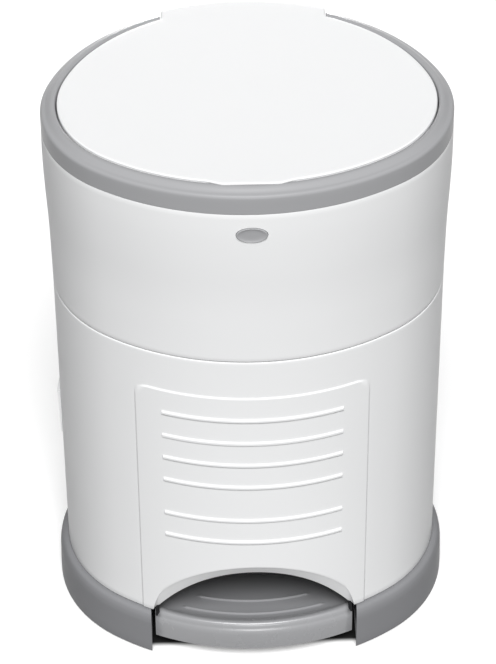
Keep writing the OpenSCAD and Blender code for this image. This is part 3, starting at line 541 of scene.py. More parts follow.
heights = np.unique(np.concatenate([np.linspace(289.6, 415.5, 46), [BUTTON_Z - PATCH_Z, BUTTON_Z + PATCH_Z],
                                    BUTTON_Z + np.linspace(-PATCH_Z, PATCH_Z, 9)]))
drop = np.abs(heights[:, None] - (BUTTON_Z + np.linspace(-PATCH_Z, PATCH_Z, 9))[None, :]).min(1)
inside_patch = (np.abs(heights - BUTTON_Z) < PATCH_Z + 1.2) & (drop > 1e-6)
heights = heights[~inside_patch]
patch_x = np.linspace(-PATCH_X, PATCH_X, 13)
patch_marks = [float(front_heading(x, 0.0)) for x in patch_x]
around = span(-QUARTER - HALF, -QUARTER + HALF, 2.4)
keep = (around < patch_marks[0] - 0.008) | (around > patch_marks[-1] + 0.008)
around = np.sort(np.concatenate([around[keep], patch_marks]))[:-1]
outer_rows = [(wall_out(289.1) - 0.5, 289.1), (wall_out(289.2) - 0.14, 289.2)]
outer_rows += [(float(wall_out(z)), z) for z in heights]
outer_rows += [(float(wall_out(416)) - 0.14, 415.9), (float(wall_out(416)) - 0.5, 416.0)]
inner_rows = [(-2.95, 416), (-2.95, 419.5), (-5, 419.5), (-5, 412), (-3.0, 407), (-2.8, 395), (-2.85, 380),
              (-3.4, 365), (-4.1, 350), (-4.6, 335), (-5.0, 300), (-5.0, 289.1)]
upper_profile = np.array(outer_rows + inner_rows)
upper_grid = at(around[:, None], upper_profile[None, :, 0], upper_profile[None, :, 1])
behind = (upper_grid[..., 1] > 60) & (np.abs(upper_grid[..., 0]) < 65)
upper_grid[..., 2] = np.where(behind, np.minimum(upper_grid[..., 2], 416.1), upper_grid[..., 2])
nu, nv = upper_grid.shape[:2]
quads = np.array(grid_faces(nu, nv, close_u=True, close_v=True, caps=False))
column, row = quads[:, 0] // nv, quads[:, 0] % nv
first_c = int(np.argmin(np.abs(around - patch_marks[0])))
last_c = int(np.argmin(np.abs(around - patch_marks[-1])))
first_r = 2 + int(np.argmin(np.abs(heights - (BUTTON_Z - PATCH_Z))))
last_r = 2 + int(np.argmin(np.abs(heights - (BUTTON_Z + PATCH_Z))))
cut = (column >= first_c) & (column < last_c) & (row >= first_r) & (row < last_r)
quads = quads[~cut]


def slot_line(angle, grow=0.0):
    """The slot's outline, an ellipse, where it is met by a ray at an angle."""
    c, s = np.cos(angle), np.sin(angle)
    t = 1 / np.hypot(c / (SLOT_HALF + grow), s / (SLOT_R + grow))
    return t * c, t * s


border = []
for c in range(first_c, last_c):
    border.append(c * nv + first_r)
for r in range(first_r, last_r):
    border.append(last_c * nv + r)
for c in range(last_c, first_c, -1):
    border.append(c * nv + last_r)
for r in range(last_r, first_r, -1):
    border.append(first_c * nv + r)
flat_points = upper_grid.reshape(-1, 3)
ring_xz = flat_points[border][:, [0, 2]] - np.array([0, BUTTON_Z])
ray = np.arctan2(ring_xz[:, 1], ring_xz[:, 0])
rings = [flat_points[border]]
sx, sz = slot_line(ray)
for share in (0.45, 0.75, 0.93):
    mx = ring_xz[:, 0] + (sx - ring_xz[:, 0]) * share
    mz = ring_xz[:, 1] + (sz - ring_xz[:, 1]) * share
    rings.append(wall_point(mx, mz + BUTTON_Z))
for grow, depth in ((0.12, 0.03), (0.0, 0.25), (0.0, 2.9)):
    gx, gz = slot_line(ray, grow)
    rings.append(wall_point(gx, gz + BUTTON_Z, depth))
patch = np.stack(rings, 1)
patch_shell = (patch.reshape(-1, 3), grid_faces(*patch.shape[:2], close_u=True, close_v=False, caps=False))
patch_points, patch_faces = patch_shell
wall_shell = outward((flat_points, quads.tolist()))
check = np.cross(patch_points[patch_faces[0][1]] - patch_points[patch_faces[0][0]],
                 patch_points[patch_faces[0][3]] - patch_points[patch_faces[0][0]])
if check[1] > 0:
    patch_faces = [f[::-1] for f in patch_faces]
upper_shell = welded(joined(wall_shell, (patch_points, patch_faces)), 1e-3)


def ring_plate(inner, outer, z0, z1, edge=0.4):
    """A flat ring between two loops of the same count, as a closed band of softened section."""
    d = outer - inner
    d = d / np.hypot(*d.T)[:, None]
    rows = [(inner + d * edge, z1), (outer, z1), (outer, z0), (inner + d * edge, z0), (inner, z0 + edge),
            (inner, z1 - edge)]
    return tube(np.stack([np.column_stack([xy, np.full(len(xy), z)]) for xy, z in rows], 1), close_u=True)


turn = np.linspace(0, TURN, 192, endpoint=False)
bore_loop = np.column_stack([79 * np.cos(turn), THROAT_Y + 79 * np.sin(turn)])
deck_loop = at(turn, -4.0, 0)[:, :2]
deck = ring_plate(bore_loop, deck_loop, DECK, DECK + 3)
kerb_loop = [np.column_stack([r * np.cos(turn), THROAT_Y + r * np.sin(turn)]) for r in (101, 103)]
kerb = ring_plate(*kerb_loop, DECK + 1, DECK + 9)
posts = [rod((x, y, 0), 5, LOWER_TOP + 0.05, DECK + 1) for x, y in SCREW_XY]
posts.append(rod((*HINGE, 0), 6.5, UPPER_LOW, DECK + 1))
bracket = [block((-21.5, -115, BUTTON_Z - 10), (-11.2, -113, BUTTON_Z + 10)),
           block((11.2, -115, BUTTON_Z - 10), (21.5, -113, BUTTON_Z + 10)),
           block((-11.2, -115, BUTTON_Z + 4.2), (11.2, -113, BUTTON_Z + 10)),
           block((-11.2, -115, BUTTON_Z - 10), (11.2, -113, BUTTON_Z - 4.2))]
for side in (-1, 1):
    bracket.append(block((side * 20.3 - 1.2, -122.4, BUTTON_Z - 10), (side * 20.3 + 1.2, -113, BUTTON_Z + 10)))
    posts.append(rod((side * 25, 126, 412.5), 3.5, -5, 5, "x", 40))
    posts.append(block((side * 25 - 5, 121.5, 409.2), (side * 25 + 5, 126, 414.4)))
build("upper_shell", *joined(upper_shell, deck, kerb, *posts, *bracket), "bin", "upper_body", "white_shell", white,
      sharp=38)

# Lower body: the fixed rear half behind the door's two seams

rear_profile = rounded([(BODY_OUT, 38.1), (BODY_OUT, LOWER_TOP), (-20, LOWER_TOP), (-20, LOWER_TOP - 3),
                        (BODY_OUT - WALL, LOWER_TOP - 3), (BODY_OUT - WALL, 43.5), (-19, 43.5), (-19, 40.5),
                        (BODY_OUT - WALL, 40.5), (BODY_OUT - WALL, 38.1)], 0.5, 3)
rear_shell = sweep(rear_profile, span(math.radians(23.6), math.radians(159.5), 2.2))
strike = block((-132.8, 28, LATCH_Z - 13), (-126.5, 32, LATCH_Z + 13))
build("lower_shell", *joined(rear_shell, strike), "bin", "lower_body", "white_shell", white, bevel=0.35)

# Door: skin with the raised panel, six ribs and the chamfered arch, then its rims, post and bracket

RIB_Z = (236, 215, 194.5, 173.5, 141.5, 120.5)
PANEL_X, PANEL_TOP, PANEL_CORNER = 84.0, 256.5, 10.0
RIB_HALF, RIB_TALL = 65.0, 2.0
ARCH_R, ARCH_Z, ARCH_HALF, ARCH_DROP = 84.9, 10.4, 76.0, 9.4
BROW_TOP, BROW_SAG, BROW_TURN = 87.4, 7.3e-3, 3.2e-7


def panel_height(x, z):
    """0.8 mm inside a rectangle with rounded top corners, falling to 0 over a soft edge."""
    qx = np.abs(x) - (PANEL_X - PANEL_CORNER)
    qz = z - (PANEL_TOP - PANEL_CORNER)
    away = np.hypot(np.maximum(qx, 0), np.maximum(qz, 0)) + np.minimum(np.maximum(qx, qz), 0) - PANEL_CORNER
    return 0.8 * (1 - smooth(away, -1.0, 0.5))


def rib_height(x, z):
    """0.9 mm on the flat of a rib, falling to 0 at its edges; the ends are steeper than the long sides."""
    high = np.zeros(np.broadcast(x, z).shape)
    for centre in RIB_Z:
        along = 1 - smooth(np.abs(x), RIB_HALF - 0.5, RIB_HALF + 0.1)
        across = 1 - smooth(np.abs(z - centre), 0.9, RIB_TALL)
        high = np.maximum(high, 0.9 * along * across)
    return high


def arch_edge(x):
    """Height of the arch's outer edge over x: a circle that turns down steeper in its last 10 mm to the corner."""
    x = np.abs(np.asarray(x, float))
    circle = ARCH_Z + np.sqrt(np.maximum(ARCH_R ** 2 - x ** 2, 0))
    drop = ARCH_DROP * np.clip((x - ARCH_HALF + 10) / 10, 0, 1) ** 3
    return np.where(x < ARCH_HALF, np.maximum(circle - drop, DOOR_LOW), DOOR_LOW)


def brow_edge(x):
    """Height of the inner edge of the arch's sloping brow: a parabola that turns down more towards its ends."""
    x = np.minimum(np.abs(np.asarray(x, float)), 100.0)
    return np.maximum(BROW_TOP - BROW_SAG * x ** 2 - BROW_TURN * x ** 4, DOOR_LOW)


fine_x = np.concatenate([np.arange(60, 76.2, 1.0), [63.9, 64.2, 64.5, 64.8, 65.1, 65.4, 75.4, 75.7, 75.9, 76.1],
                         np.arange(82.4, 85.0, 0.25), np.arange(76.5, 82, 1.2)])
fine = sorted({round(float(front_heading(s * v, BODY_OUT)), 7) for s in (-1, 1) for v in fine_x})
low_band = span(math.radians(-200), math.radians(20), 2.4)
fine_low, fine_high = front_heading(59, BODY_OUT), front_heading(85.2, BODY_OUT)
other = [h for h in low_band if not (fine_low < h < fine_high or -HALF - fine_high < h < -HALF - fine_low)]
latch_low, latch_high = -12.5, 16.5
latch_marks = [-HALF - math.asin((y - SIDE_Y) / (SIDE_R + BODY_OUT)) for y in (latch_low, latch_high)]
other = [h for h in other if min(abs(h - m) for m in latch_marks) > 0.008] + latch_marks
door_columns = np.array(sorted(set(other) | set(fine)))

MID = 112.0
rib_rows = np.concatenate([c + np.array([-3, -2.2, -2, -1.7, -1.3, -0.9, -0.3, 0.3, 0.9, 1.3, 1.7, 2, 2.2, 3])
                           for c in RIB_Z])
row_marks = np.unique(np.round(np.concatenate([
    rib_rows, np.arange(MID, 287, 3.4), np.arange(254.5, 257.6, 0.35), [LATCH_Z - 20.5, LATCH_Z + 20.5]]), 3))
keep_rows = [row_marks[0]]
for mark in row_marks[1:]:
    if mark - keep_rows[-1] > 0.25 or mark in (LATCH_Z - 20.5, LATCH_Z + 20.5):
        if mark in (LATCH_Z - 20.5, LATCH_Z + 20.5) and mark - keep_rows[-1] < 0.25:
            keep_rows.pop()
        keep_rows.append(mark)
high_rows = np.array(keep_rows)[::-1]
low_shares = 1 - np.linspace(0, 1, 22)[1:] ** 1.25

head = door_columns[:, None]
ncol = len(door_columns)
rows_out, rows_z = [], []
skin_x = (FRONT_R + BODY_OUT) * np.cos(door_columns)
in_front = np.sin(door_columns) < -0.8
skin_x = np.where(in_front, skin_x, 200.0)
inner_x = np.where(in_front, (FRONT_R - 5.9) * np.cos(door_columns), 200.0)
arch_z = arch_edge(skin_x)
inner_z = np.minimum(brow_edge(inner_x), arch_z)


def add_row(out, z):
    rows_out.append(np.broadcast_to(np.asarray(out, float), (ncol,)))
    rows_z.append(np.broadcast_to(np.asarray(z, float), (ncol,)))


def skin(z):
    """Distance of the skin from the outline: the plain wall, the panel and the ribs on it."""
    z = np.broadcast_to(z, (ncol,))
    return BODY_OUT + panel_height(skin_x, z) + rib_height(skin_x, z)


for k in (0, 30, 60, 90):
    a = math.radians(k)
    add_row(BODY_OUT - 0.6 + 0.6 * math.sin(a), DOOR_HIGH - 0.6 + 0.6 * math.cos(a))
first_high = len(rows_out)
for z in high_rows:
    add_row(skin(z), z)
edge_top = arch_z + 0.5
for share in low_shares:
    z = edge_top + (MID - edge_top) * share
    add_row(skin(z), z)
soft = skin(arch_z)
add_row(soft - 0.15, arch_z + 0.15)
add_row(soft - 0.5, arch_z)
add_row(soft * 0.5 - 5.9 * 0.5, arch_z * 0.5 + inner_z * 0.5)
add_row(-5.55, inner_z + 0.02)
add_row(-5.9, inner_z + 0.35)
add_row(-5.9, inner_z + 1.6)
add_row(-5.3, inner_z + 2.4)
inner_edge = inner_z + 3.0
for share in low_shares[::-1][::3]:
    add_row(-5.3, inner_edge + (MID - inner_edge) * share)
first_inner = len(rows_out)
for z in high_rows[::-1]:
    add_row(-5.3, z)
add_row(-5.3, 284.6)
add_row(-5.7, 285.0)
add_row(-12.6, 285.0)
add_row(-13, 285.4)
add_row(-13, 287.6)
add_row(-12.6, 288.0)
add_row(-4.0, 288.0)
door_grid = at(head, np.stack(rows_out, 1), np.stack(rows_z, 1))
nu, nv = door_grid.shape[:2]
door_quads = np.array([f for f in grid_faces(nu, nv) if len(f) == 4])
caps = [f for f in grid_faces(nu, nv) if len(f) != 4]
column, row = door_quads[:, 0] // nv, door_quads[:, 0] % nv
marks = sorted(int(np.argmin(np.abs(door_columns - m))) for m in latch_marks)
up = int(np.argmin(np.abs(high_rows - (LATCH_Z + 20.5))))
down = int(np.argmin(np.abs(high_rows - (LATCH_Z - 20.5))))
outer_window = (first_high + up, first_high + down)
count_high = len(high_rows)
inner_window = (first_inner + count_high - 1 - down, first_inner + count_high - 1 - up)
in_window = (column >= marks[0]) & (column < marks[1])
cut = in_window & (((row >= outer_window[0]) & (row < outer_window[1]))
                   | ((row >= inner_window[0]) & (row < inner_window[1])))
door_faces = door_quads[~cut].tolist() + caps


def loop_of(c0, c1, r0, r1):
    """Grid points round a window, in order."""
    ring = [(c, r0) for c in range(c0, c1)] + [(c1, r) for r in range(r0, r1)]
    ring += [(c, r1) for c in range(c1, c0, -1)] + [(c0, r) for r in range(r1, r0, -1)]
    return ring


def inner_of(c, r):
    """The inner row that lies behind an outer row."""
    return c, first_inner + count_high - 1 - (r - first_high)


ring = loop_of(marks[0], marks[1], *outer_window)
for a, b in zip(ring, ring[1:] + ring[:1]):
    ia, ib = inner_of(*a), inner_of(*b)
    door_faces.append([a[0] * nv + a[1], b[0] * nv + b[1], ib[0] * nv + ib[1], ia[0] * nv + ia[1]])
door_shell = outward((door_grid.reshape(-1, 3), door_faces))
rim_section = rounded([(-4.3, 44.8), (-4.3, 47.8), (-12, 47.8), (-12, 44.8)], 0.4, 2)
rims = [sweep(rim_section, span(math.radians(-200.0) + 0.02, float(front_heading(-84.5, -5)), 2.4)),
        sweep(rim_section, span(float(front_heading(84.5, -5)), math.radians(20) - 0.03, 2.4))]
post = rod((*HINGE, 0), 4.8, DOOR_LOW, DOOR_HIGH, "z", 48, 0.4)
spring_seat = [block((-122, -19.5, LATCH_Z - 9), (-120, 5, LATCH_Z + 9)),
               block((-139.5, -19.5, LATCH_Z - 9), (-120, -17.5, LATCH_Z + 9))]
build("door_panel", *joined(door_shell, *rims, post, *spring_seat), "door", "front_door", "white_shell", white,
      sharp=38)

# Base: skirt with its rolled shoulder, floor, axle ears and screw posts

skirt = np.vstack([rounded([(4.9, 1.2), (5.0, 8), (4.4, 30), (3.6, 34), (2.2, 36.8), (0.2, 38), (-19, 38), (-19, 35),
                            (-0.5, 35), (1.6, 31), (2.2, 8), (2.2, 1.2)], 1.6, 4)])
notch = 78.0
ends = float(front_heading(notch, 0)), float(front_heading(-notch, 0)) + TURN
skirt_columns = span(*ends, 2.4)
skirt_table = plane_ends(skirt_columns, skirt[:, 0], notch, rear=False, keep=0.06)
skirt_shell = tube(at(skirt_table, skirt[None, :, 0], skirt[None, :, 1]))
xs = np.concatenate([np.linspace(-147.9, -78.02, 46), np.linspace(-77.98, 77.98, 40), np.linspace(78.02, 147.9, 46)])
dense = span(-QUARTER - HALF, -QUARTER + HALF, 0.8)
rim_xy = at(dense, 3.4, 0)[:, :2]
low_half, high_half = rim_xy[:, 1] < SIDE_Y + 4, rim_xy[:, 1] > SIDE_Y - 4


def edge_y(x, part):
    """Front or rear edge of the floor plate at a distance from the middle plane."""
    line = rim_xy[part]
    order = np.argsort(line[:, 0])
    return np.interp(x, line[order, 0], line[order, 1])


near_y = np.where(np.abs(xs) < notch, -47.0, edge_y(xs, low_half))
far_y = edge_y(xs, high_half)
plate = tube(np.stack([np.column_stack([xs, y, np.full(len(xs), z)])
                       for y, z in ((near_y, 4.0), (far_y, 4.0), (far_y, 7.0), (near_y, 7.0))], 1))
fittings = [rod((x, y, 0), 5, 5, 37.9) for x, y in SCREW_XY] + [rod((*HINGE, 0), 6, 26, 37.9)]
for side in (-1, 1):
    fittings.append(block((side * 82 - 2.5, -65, 5), (side * 82 + 2.5, -51, 28)))
build("base_skirt", *joined(skirt_shell, plate, *fittings), "bin", "base_ring", "grey_plastic", base_grey,
      bevel=0.35, sharp=40)

# Pedal: curved treadle with a rolled front edge, two long ribs, cheeks and axle blocks

PEDAL_X = 75.0
pedal_top = np.array([(-3.6, 11.0), (-3.25, 15), (-3.0, 20), (-3.05, 25), (-3.35, 28.6), (-3.9, 29.6), (-4.25, 30.2),
                      (-4.5, 31.2), (-4.75, 32.6), (-5.4, 34.0), (-6.5, 34.8), (-7.8, 35.0), (-9.4, 34.7), (-11, 33.9),
                      (-13, 32.7), (-15.5, 31.8), (-18, 31.35)])
rib_spots = np.concatenate([c + np.array([-1.8, -1.3, -0.9, -0.4, 0.4, 0.9, 1.3, 1.8]) for c in (-20.3, -35.7)])
flat_outs = np.sort(np.concatenate([rib_spots, [-24.5, -28, -31.5, -41, -47, -53, -59, -65, -70]]))[::-1]
flat_top = np.column_stack([flat_outs, np.interp(flat_outs, [-70, -20, -18], [27.5, 31.1, 31.35])])
pedal_under = np.array([(-70, 24.5), (-45, 26.3), (-20, 28), (-13, 29.4), (-8.6, 31.2), (-7.4, 30.6), (-6.6, 28.5),
                        (-6.2, 20), (-6.2, 11)])
pedal_line = np.vstack([pedal_top, flat_top, pedal_under])
pedal_xs = np.concatenate([[-75, -74.8, -74.4], np.linspace(-73.5, 73.5, 99), [74.4, 74.8, 75]])
pedal_heads = front_heading(pedal_xs[:, None], pedal_line[None, :, 0])
pedal_grid = at(pedal_heads, pedal_line[None, :, 0], pedal_line[None, :, 1])
is_top = np.zeros(len(pedal_line), bool)
is_top[len(pedal_top):len(pedal_top) + len(flat_top)] = True
lift = np.zeros(pedal_grid.shape[:2])
for centre, half in ((-20.3, 54.0), (-35.7, 43.0)):
    across = 1 - smooth(np.abs(pedal_line[:, 0] - centre), 0.4, 1.5)
    along = 1 - smooth(np.abs(pedal_grid[..., 0]), half - 3, half)
    lift = np.maximum(lift, 1.25 * across[None, :] * along)
pedal_grid[..., 2] += np.where(is_top[None, :], lift, 0)
side_round = smooth(75 - np.abs(pedal_xs), 0, 0.6)[:, None]
centre_line = pedal_grid.mean(1, keepdims=True)
pedal_grid[..., 2] -= np.where(pedal_line[None, :, 1] > 28.5, 0.5, 0) * (1 - side_round)
treadle = tube(pedal_grid)
ped_parts = []
for side in (-1, 1):
    ped_parts.append(block((side * 71 - 4, -64, 15), (side * 71 + 4, -52, 27.5)))
    ped_parts.append(block((side * 5.2 - 1.6, -104, 15), (side * 5.2 + 1.6, -52, 27.5)))
    cheek_y = np.linspace(-108, -52, 20)
    cheek_x = side * (PEDAL_X - 1.5)
    out_of = FRONT_R - np.hypot(cheek_x, FRONT_C - cheek_y)
    top_of = np.interp(-out_of, [-70, -20, -5], [27.0, 30.0, 29.0])
    section = np.stack([np.column_stack([np.full(20, cheek_x + dx), cheek_y, z])
                        for dx, z in ((-1.5, np.full(20, 11.0)), (1.5, np.full(20, 11.0)), (1.5, top_of),
                                      (-1.5, top_of))], 1)
    front_limit = FRONT_C - np.sqrt((FRONT_R - 5.5) ** 2 - section[..., 0] ** 2)
    section[..., 1] = np.maximum(section[..., 1], front_limit)
    ped_parts.append(tube(section))
foot_piece = build("treadle", *joined(treadle, *ped_parts), "pedal", "pedal", "grey_plastic", pedal_grey,
                   bevel=0.3, sharp=42)
foot_piece.data.materials.append(tread_grey)
for face in foot_piece.data.polygons:
    spot = face.center * 1000
    if math.hypot(spot.x, spot.y - FRONT_C) < FRONT_R - 13 and spot.z > 27 and face.normal.z > 0:
        face.material_index = 1

# Release button: dished oval head, flange and the frame with the catch


def button_head():
    """Rings of the slot's outline, scaled from the middle: a shallow dish, a rolled rim and straight sides."""
    angle = np.linspace(0, TURN, 72, endpoint=False)
    rings = []
    for share, y in ((0.03, -125.7), (0.3, -125.68), (0.6, -125.7), (0.8, -125.85), (0.9, -126.15), (0.955, -126.32),
                     (0.985, -126.2), (1.0, -125.85), (1.0, -125.2), (1.0, -120.0), (0.5, -120.0), (0.03, -120.0)):
        gx, gz = slot_line(angle, -0.3)
        rings.append(np.column_stack([gx * share, np.full(len(gx), y), BUTTON_Z + gz * share]))
    grid = np.stack(rings, 1)
    points, faces = tube(grid, close_u=True, close_v=False, caps=False)
    count, rows = grid.shape[:2]
    faces = faces + [[i * rows for i in range(count)], [i * rows + rows - 1 for i in reversed(range(count))]]
    return outward((points, faces))


catch = [block((-18, -121.2, BUTTON_Z - 5), (18, -119.4, BUTTON_Z + 5)),
         block((-10.6, -104.5, BUTTON_Z - 3.2), (10.6, -102, BUTTON_Z + 3.2)),
         block((-5, -106.5, BUTTON_Z - 2.7), (5, -104, BUTTON_Z - 0.2))]
for side in (-1, 1):
    catch.append(block((side * 9.3 - 1.3, -120, BUTTON_Z - 3.2), (side * 9.3 + 1.3, -102, BUTTON_Z + 3.2)))
build("button_head", *joined(button_head(), *catch), "release_button", "release_button", "grey_plastic",
      button_grey, sharp=50)

# Door latch: finger tab that follows the body, its flange and the hooked arm

tab_y = np.linspace(-12, 16, 15)
tab_head = HALF - np.arcsin((tab_y - SIDE_Y) / SIDE_R)
tab_section = rounded([(0.0, LATCH_Z - 20), (0.0, LATCH_Z + 20), (-11.5, LATCH_Z + 20), (-11.5, LATCH_Z - 20)], 1.0, 4)
tab_section[:, 0] = np.where(tab_section[:, 1] < LATCH_Z - 12,
                             np.minimum(tab_section[:, 0], -0.022 * (LATCH_Z - 12 - tab_section[:, 1]) ** 2),
                             tab_section[:, 0])
tab = sweep(tab_section, tab_head)
arms = [block((-134.5, -16, LATCH_Z - 24), (-132.5, 20, LATCH_Z + 24)),
        block((-133.5, 9, LATCH_Z - 8), (-123.6, 13, LATCH_Z + 8)),
        block((-126.1, 9, LATCH_Z - 8), (-123.6, 35.5, LATCH_Z + 8)),
        block((-128.2, 32.5, LATCH_Z - 8), (-125.5, 35.5, LATCH_Z + 8))]
build("latch_tab", *joined(tab, *arms), "door_latch", "door_latch", "white_shell", white, bevel=0.4, sharp=40)

# Film pack: a ring of fine pleats, slumped at its top; seal: a soft bead; springs: real coils


def pleated_pack():
    """Closed ring whose outer and inner walls wave with 150 pleats and whose top folds ride up and down."""
    angle = np.linspace(0, TURN, 900, endpoint=False)[:, None]
    section = rounded([(96.6, 305.6), (96.6, 336.8), (83.6, 336.8), (83.6, 305.6)], 3.0, 6)[None, :, :]
    r, z = section[..., 0], section[..., 1]
    share = smooth(z, 306, 336)
    wave = np.sin(150 * angle + 0.9 * np.sin(5 * angle)) * (0.35 + 0.45 * share)
    fold = 0.9 * np.sin(75 * angle + 2 * np.sin(3 * angle)) * smooth(z, 330, 336.8)
    outer = np.where(r > 90, 1.0, -1.0)
    r = r + outer * wave * 0.9
    z = z + fold - 1.4 * smooth(z, 330, 336.8)
    return tube(np.stack([r * np.cos(angle), THROAT_Y + r * np.sin(angle), np.broadcast_to(z, r.shape)], -1),
                close_u=True)


build("pleated_film", *pleated_pack(), "bin", "film_pack", "film", film, sharp=60)


def coil(centre, radius, wire, start, stop, turns, axis):
    """A helix of round wire: radius about the centre line, pitch even, first and last turn laid flat."""
    steps = int(turns * 26)
    t = np.linspace(0, 1, steps)
    flat = np.interp(t, [0, 0.09, 0.91, 1], [0, 0.035, 0.965, 1])
    h = start + wire + (stop - start - 2 * wire) * flat
    angle = TURN * turns * t
    line = np.stack([radius * np.cos(angle), radius * np.sin(angle), h], -1)
    ahead = np.gradient(line, axis=0)
    ahead /= np.linalg.norm(ahead, axis=1)[:, None]
    away = np.stack([np.cos(angle), np.sin(angle), 0 * angle], -1)
    third = np.cross(ahead, away)
    ring = np.linspace(0, TURN, 8, endpoint=False)
    grid = line[:, None, :] + wire * (np.cos(ring)[None, :, None] * away[:, None, :]
                                      + np.sin(ring)[None, :, None] * third[:, None, :])
    order = {"z": [0, 1, 2], "x": [2, 0, 1], "y": [1, 2, 0]}[axis]
    return tube(grid[..., order] + np.asarray(centre, float))


build("latch_coil", *coil((0, -4, LATCH_Z), 3.6, 0.4, -132.4, -122.1, 7, "x"), "door", "latch_spring", "steel",
      spring_steel, sharp=60)
button_coils = [coil((side * 15, 0, BUTTON_Z), 2.05, 0.3, -119.3, -115.1, 4, "y") for side in (-1, 1)]
build("button_coils", *joined(*button_coils), "bin", "button_springs", "steel", spring_steel, sharp=60)
flap_coils = [coil((side * 64, 0, 350), 2.2, 0.42, 0.6, 8.6, 7, "y") for side in (-1, 1)]
build("flap_coils", *joined(*flap_coils), "collar", "flap_springs", "steel", spring_steel, sharp=60)
seal_section = rounded([(-14.8, 424), (-14.8, 431.9), (-18.9, 431.9), (-18.9, 426), (-17.1, 424)], 1.2, 4)
build("seal_bead", *sweep(seal_section, span(-QUARTER - HALF, -QUARTER + HALF, 2.4)[:-1], close=True), "lid",
      "lid_seal", "rubber", rubber, sharp=60)

# Floor, camera and light


def plane(name, size, z, material):
    """A square floor far larger than the view."""
    mesh = bpy.data.meshes.new(name)
    mesh.from_pydata([(-size, -size, z), (size, -size, z), (size, size, z), (-size, size, z)], [], [(0, 1, 2, 3)])
    mesh.materials.append(material)
    floor = bpy.data.objects.new(name, mesh)
    bpy.context.scene.collection.objects.link(floor)
    return floor


def seen_directly(tree):
    """1 for camera, mirror and glass rays, 0 for the rays that light the object."""
    rays = tree.nodes.new("ShaderNodeLightPath")
    first = tree.nodes.new("ShaderNodeMath")
    first.operation = "MAXIMUM"
    second = tree.nodes.new("ShaderNodeMath")
    second.operation = "MAXIMUM"
    tree.links.new(rays.outputs["Is Camera Ray"], first.inputs[0])
    tree.links.new(rays.outputs["Is Glossy Ray"], first.inputs[1])
    tree.links.new(first.outputs[0], second.inputs[0])
    tree.links.new(rays.outputs["Is Transmission Ray"], second.inputs[1])
    return second.outputs[0]


def outside_painted_shadow(tree):
    """0 on the floor in a rectangle under the bin, where a painted shadow goes, 1 beyond it: the larger of |x| and |y|
    against its half sides.
    """
    where = tree.nodes.new("ShaderNodeTexCoord")
    edges = []
    for half, low, high in (((1e6, 105.0, 1e6), 0.96, 1.02), ((84.0, 1e6, 1e6), 0.96, 1.02)):
        placed = tree.nodes.new("ShaderNodeMapping")
        placed.vector_type = "TEXTURE"
        placed.inputs["Scale"].default_value = [v / 1000 for v in half]
        tree.links.new(where.outputs["Object"], placed.inputs["Vector"])
        reach = tree.nodes.new("ShaderNodeVectorMath")
        reach.operation = "LENGTH"
        tree.links.new(placed.outputs["Vector"], reach.inputs[0])
        edge = tree.nodes.new("ShaderNodeMapRange")
        edge.interpolation_type = "SMOOTHSTEP"
        edge.inputs["From Min"].default_value = low
        edge.inputs["From Max"].default_value = high
        tree.links.new(reach.outputs["Value"], edge.inputs["Value"])
        edges.append(edge.outputs["Result"])
    larger = tree.nodes.new("ShaderNodeMath")
    larger.operation = "MAXIMUM"
    for place, edge in enumerate(edges):
        tree.links.new(edge, larger.inputs[place])
    return larger.outputs[0]


studio = bpy.data.materials.new("studio_floor")
studio.use_nodes = True
tree = studio.node_tree
tree.nodes.clear()
output = tree.nodes.new("ShaderNodeOutputMaterial")
lit = tree.nodes.new("ShaderNodeBsdfDiffuse")
lit.inputs["Color"].default_value = (0.05, 0.05, 0.05, 1)
shown = tree.nodes.new("ShaderNodeBsdfDiffuse")
shown.inputs["Color"].default_value = (0.9, 0.9, 0.9, 1)
glow = tree.nodes.new("ShaderNodeEmission")
glow.inputs["Strength"].default_value = 0.24
both = tree.nodes.new("ShaderNodeAddShader")
tree.links.new(shown.outputs[0], both.inputs[0])
tree.links.new(glow.outputs[0], both.inputs[1])
# Painted shadow: the floor is nearly black in the rectangle under the bin, so the gaps beside the pedal look dark; the
# lamps don't cast it
painted_shadow_floor = tree.nodes.new("ShaderNodeBsdfDiffuse")
painted_shadow_floor.inputs["Color"].default_value = (0.02, 0.02, 0.02, 1)
ground = tree.nodes.new("ShaderNodeMixShader")
tree.links.new(outside_painted_shadow(tree), ground.inputs[0])
tree.links.new(painted_shadow_floor.outputs[0], ground.inputs[1])
tree.links.new(both.outputs[0], ground.inputs[2])
choice = tree.nodes.new("ShaderNodeMixShader")
tree.links.new(seen_directly(tree), choice.inputs[0])
tree.links.new(lit.outputs[0], choice.inputs[1])
tree.links.new(ground.outputs[0], choice.inputs[2])
tree.links.new(choice.outputs[0], output.inputs["Surface"])
plane("studio_ground", 6.0, 0.0, studio)

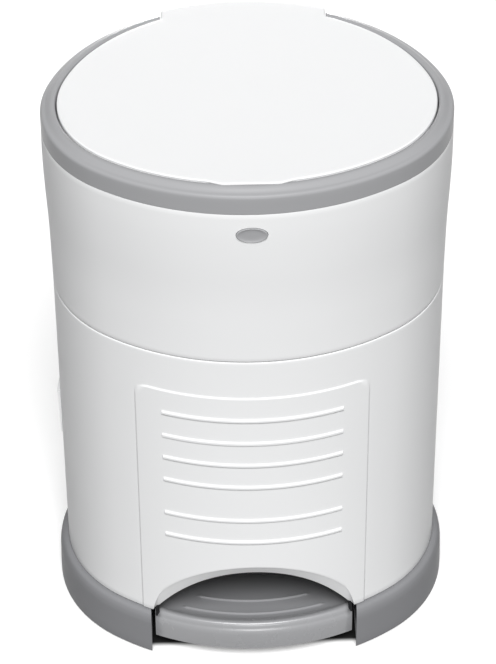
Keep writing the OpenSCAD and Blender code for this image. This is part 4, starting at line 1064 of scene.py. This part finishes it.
world = bpy.data.worlds.new("studio_air")
world.use_nodes = True
bpy.context.scene.world = world
tree = world.node_tree
tree.nodes.clear()
output = tree.nodes.new("ShaderNodeOutputWorld")
air = tree.nodes.new("ShaderNodeBackground")
air.inputs["Strength"].default_value = 0.1
white_air = tree.nodes.new("ShaderNodeBackground")
white_air.inputs["Strength"].default_value = 1.0
for shade in (air, white_air):
    shade.inputs["Color"].default_value = (1, 1, 1, 1)
choice = tree.nodes.new("ShaderNodeMixShader")
tree.links.new(seen_directly(tree), choice.inputs[0])
tree.links.new(air.outputs[0], choice.inputs[1])
tree.links.new(white_air.outputs[0], choice.inputs[2])
tree.links.new(choice.outputs[0], output.inputs["Surface"])


def sun(name, towards, strength, spread):
    """A wide soft sun whose light travels along the direction towards."""
    lamp = bpy.data.lights.new(name, "SUN")
    lamp.energy = strength
    lamp.angle = math.radians(spread)
    holder = bpy.data.objects.new(name, lamp)
    holder.rotation_euler = Vector(towards).to_track_quat("-Z", "Y").to_euler()
    bpy.context.scene.collection.objects.link(holder)


sun("key_light", (-0.005, 0.574, -0.819), 3.3, 28)
sun("front_light", (-0.04, 0.98, -0.17), 0.82, 20)
sun("rear_light", (0.0, -1.0, 0.0), 2.4, 12)

AZIMUTH, ELEVATION, ROLL = math.radians(-1.24), math.radians(37.6), math.radians(-0.46)
TARGET, DISTANCE, LENS = Vector((-0.0007, -0.009, 0.228)), 2.034, 148.0
back = Vector((math.sin(AZIMUTH) * math.cos(ELEVATION), -math.cos(AZIMUTH) * math.cos(ELEVATION),
               math.sin(ELEVATION)))
level = Vector((math.cos(AZIMUTH), math.sin(AZIMUTH), 0))
upright = back.cross(level)
right = level * math.cos(ROLL) + upright * math.sin(ROLL)
over = upright * math.cos(ROLL) - level * math.sin(ROLL)
view = bpy.data.cameras.new("photo_view")
view.lens, view.sensor_width, view.clip_end = LENS, 36.0, 50.0
camera = bpy.data.objects.new("photo_view", view)
place = TARGET + back * DISTANCE
camera.matrix_world = Matrix(((right.x, over.x, back.x, place.x), (right.y, over.y, back.y, place.y),
                              (right.z, over.z, back.z, place.z), (0, 0, 0, 1)))
bpy.context.scene.collection.objects.link(camera)
bpy.context.scene.camera = camera
bpy.context.scene.view_settings.view_transform = "Standard"
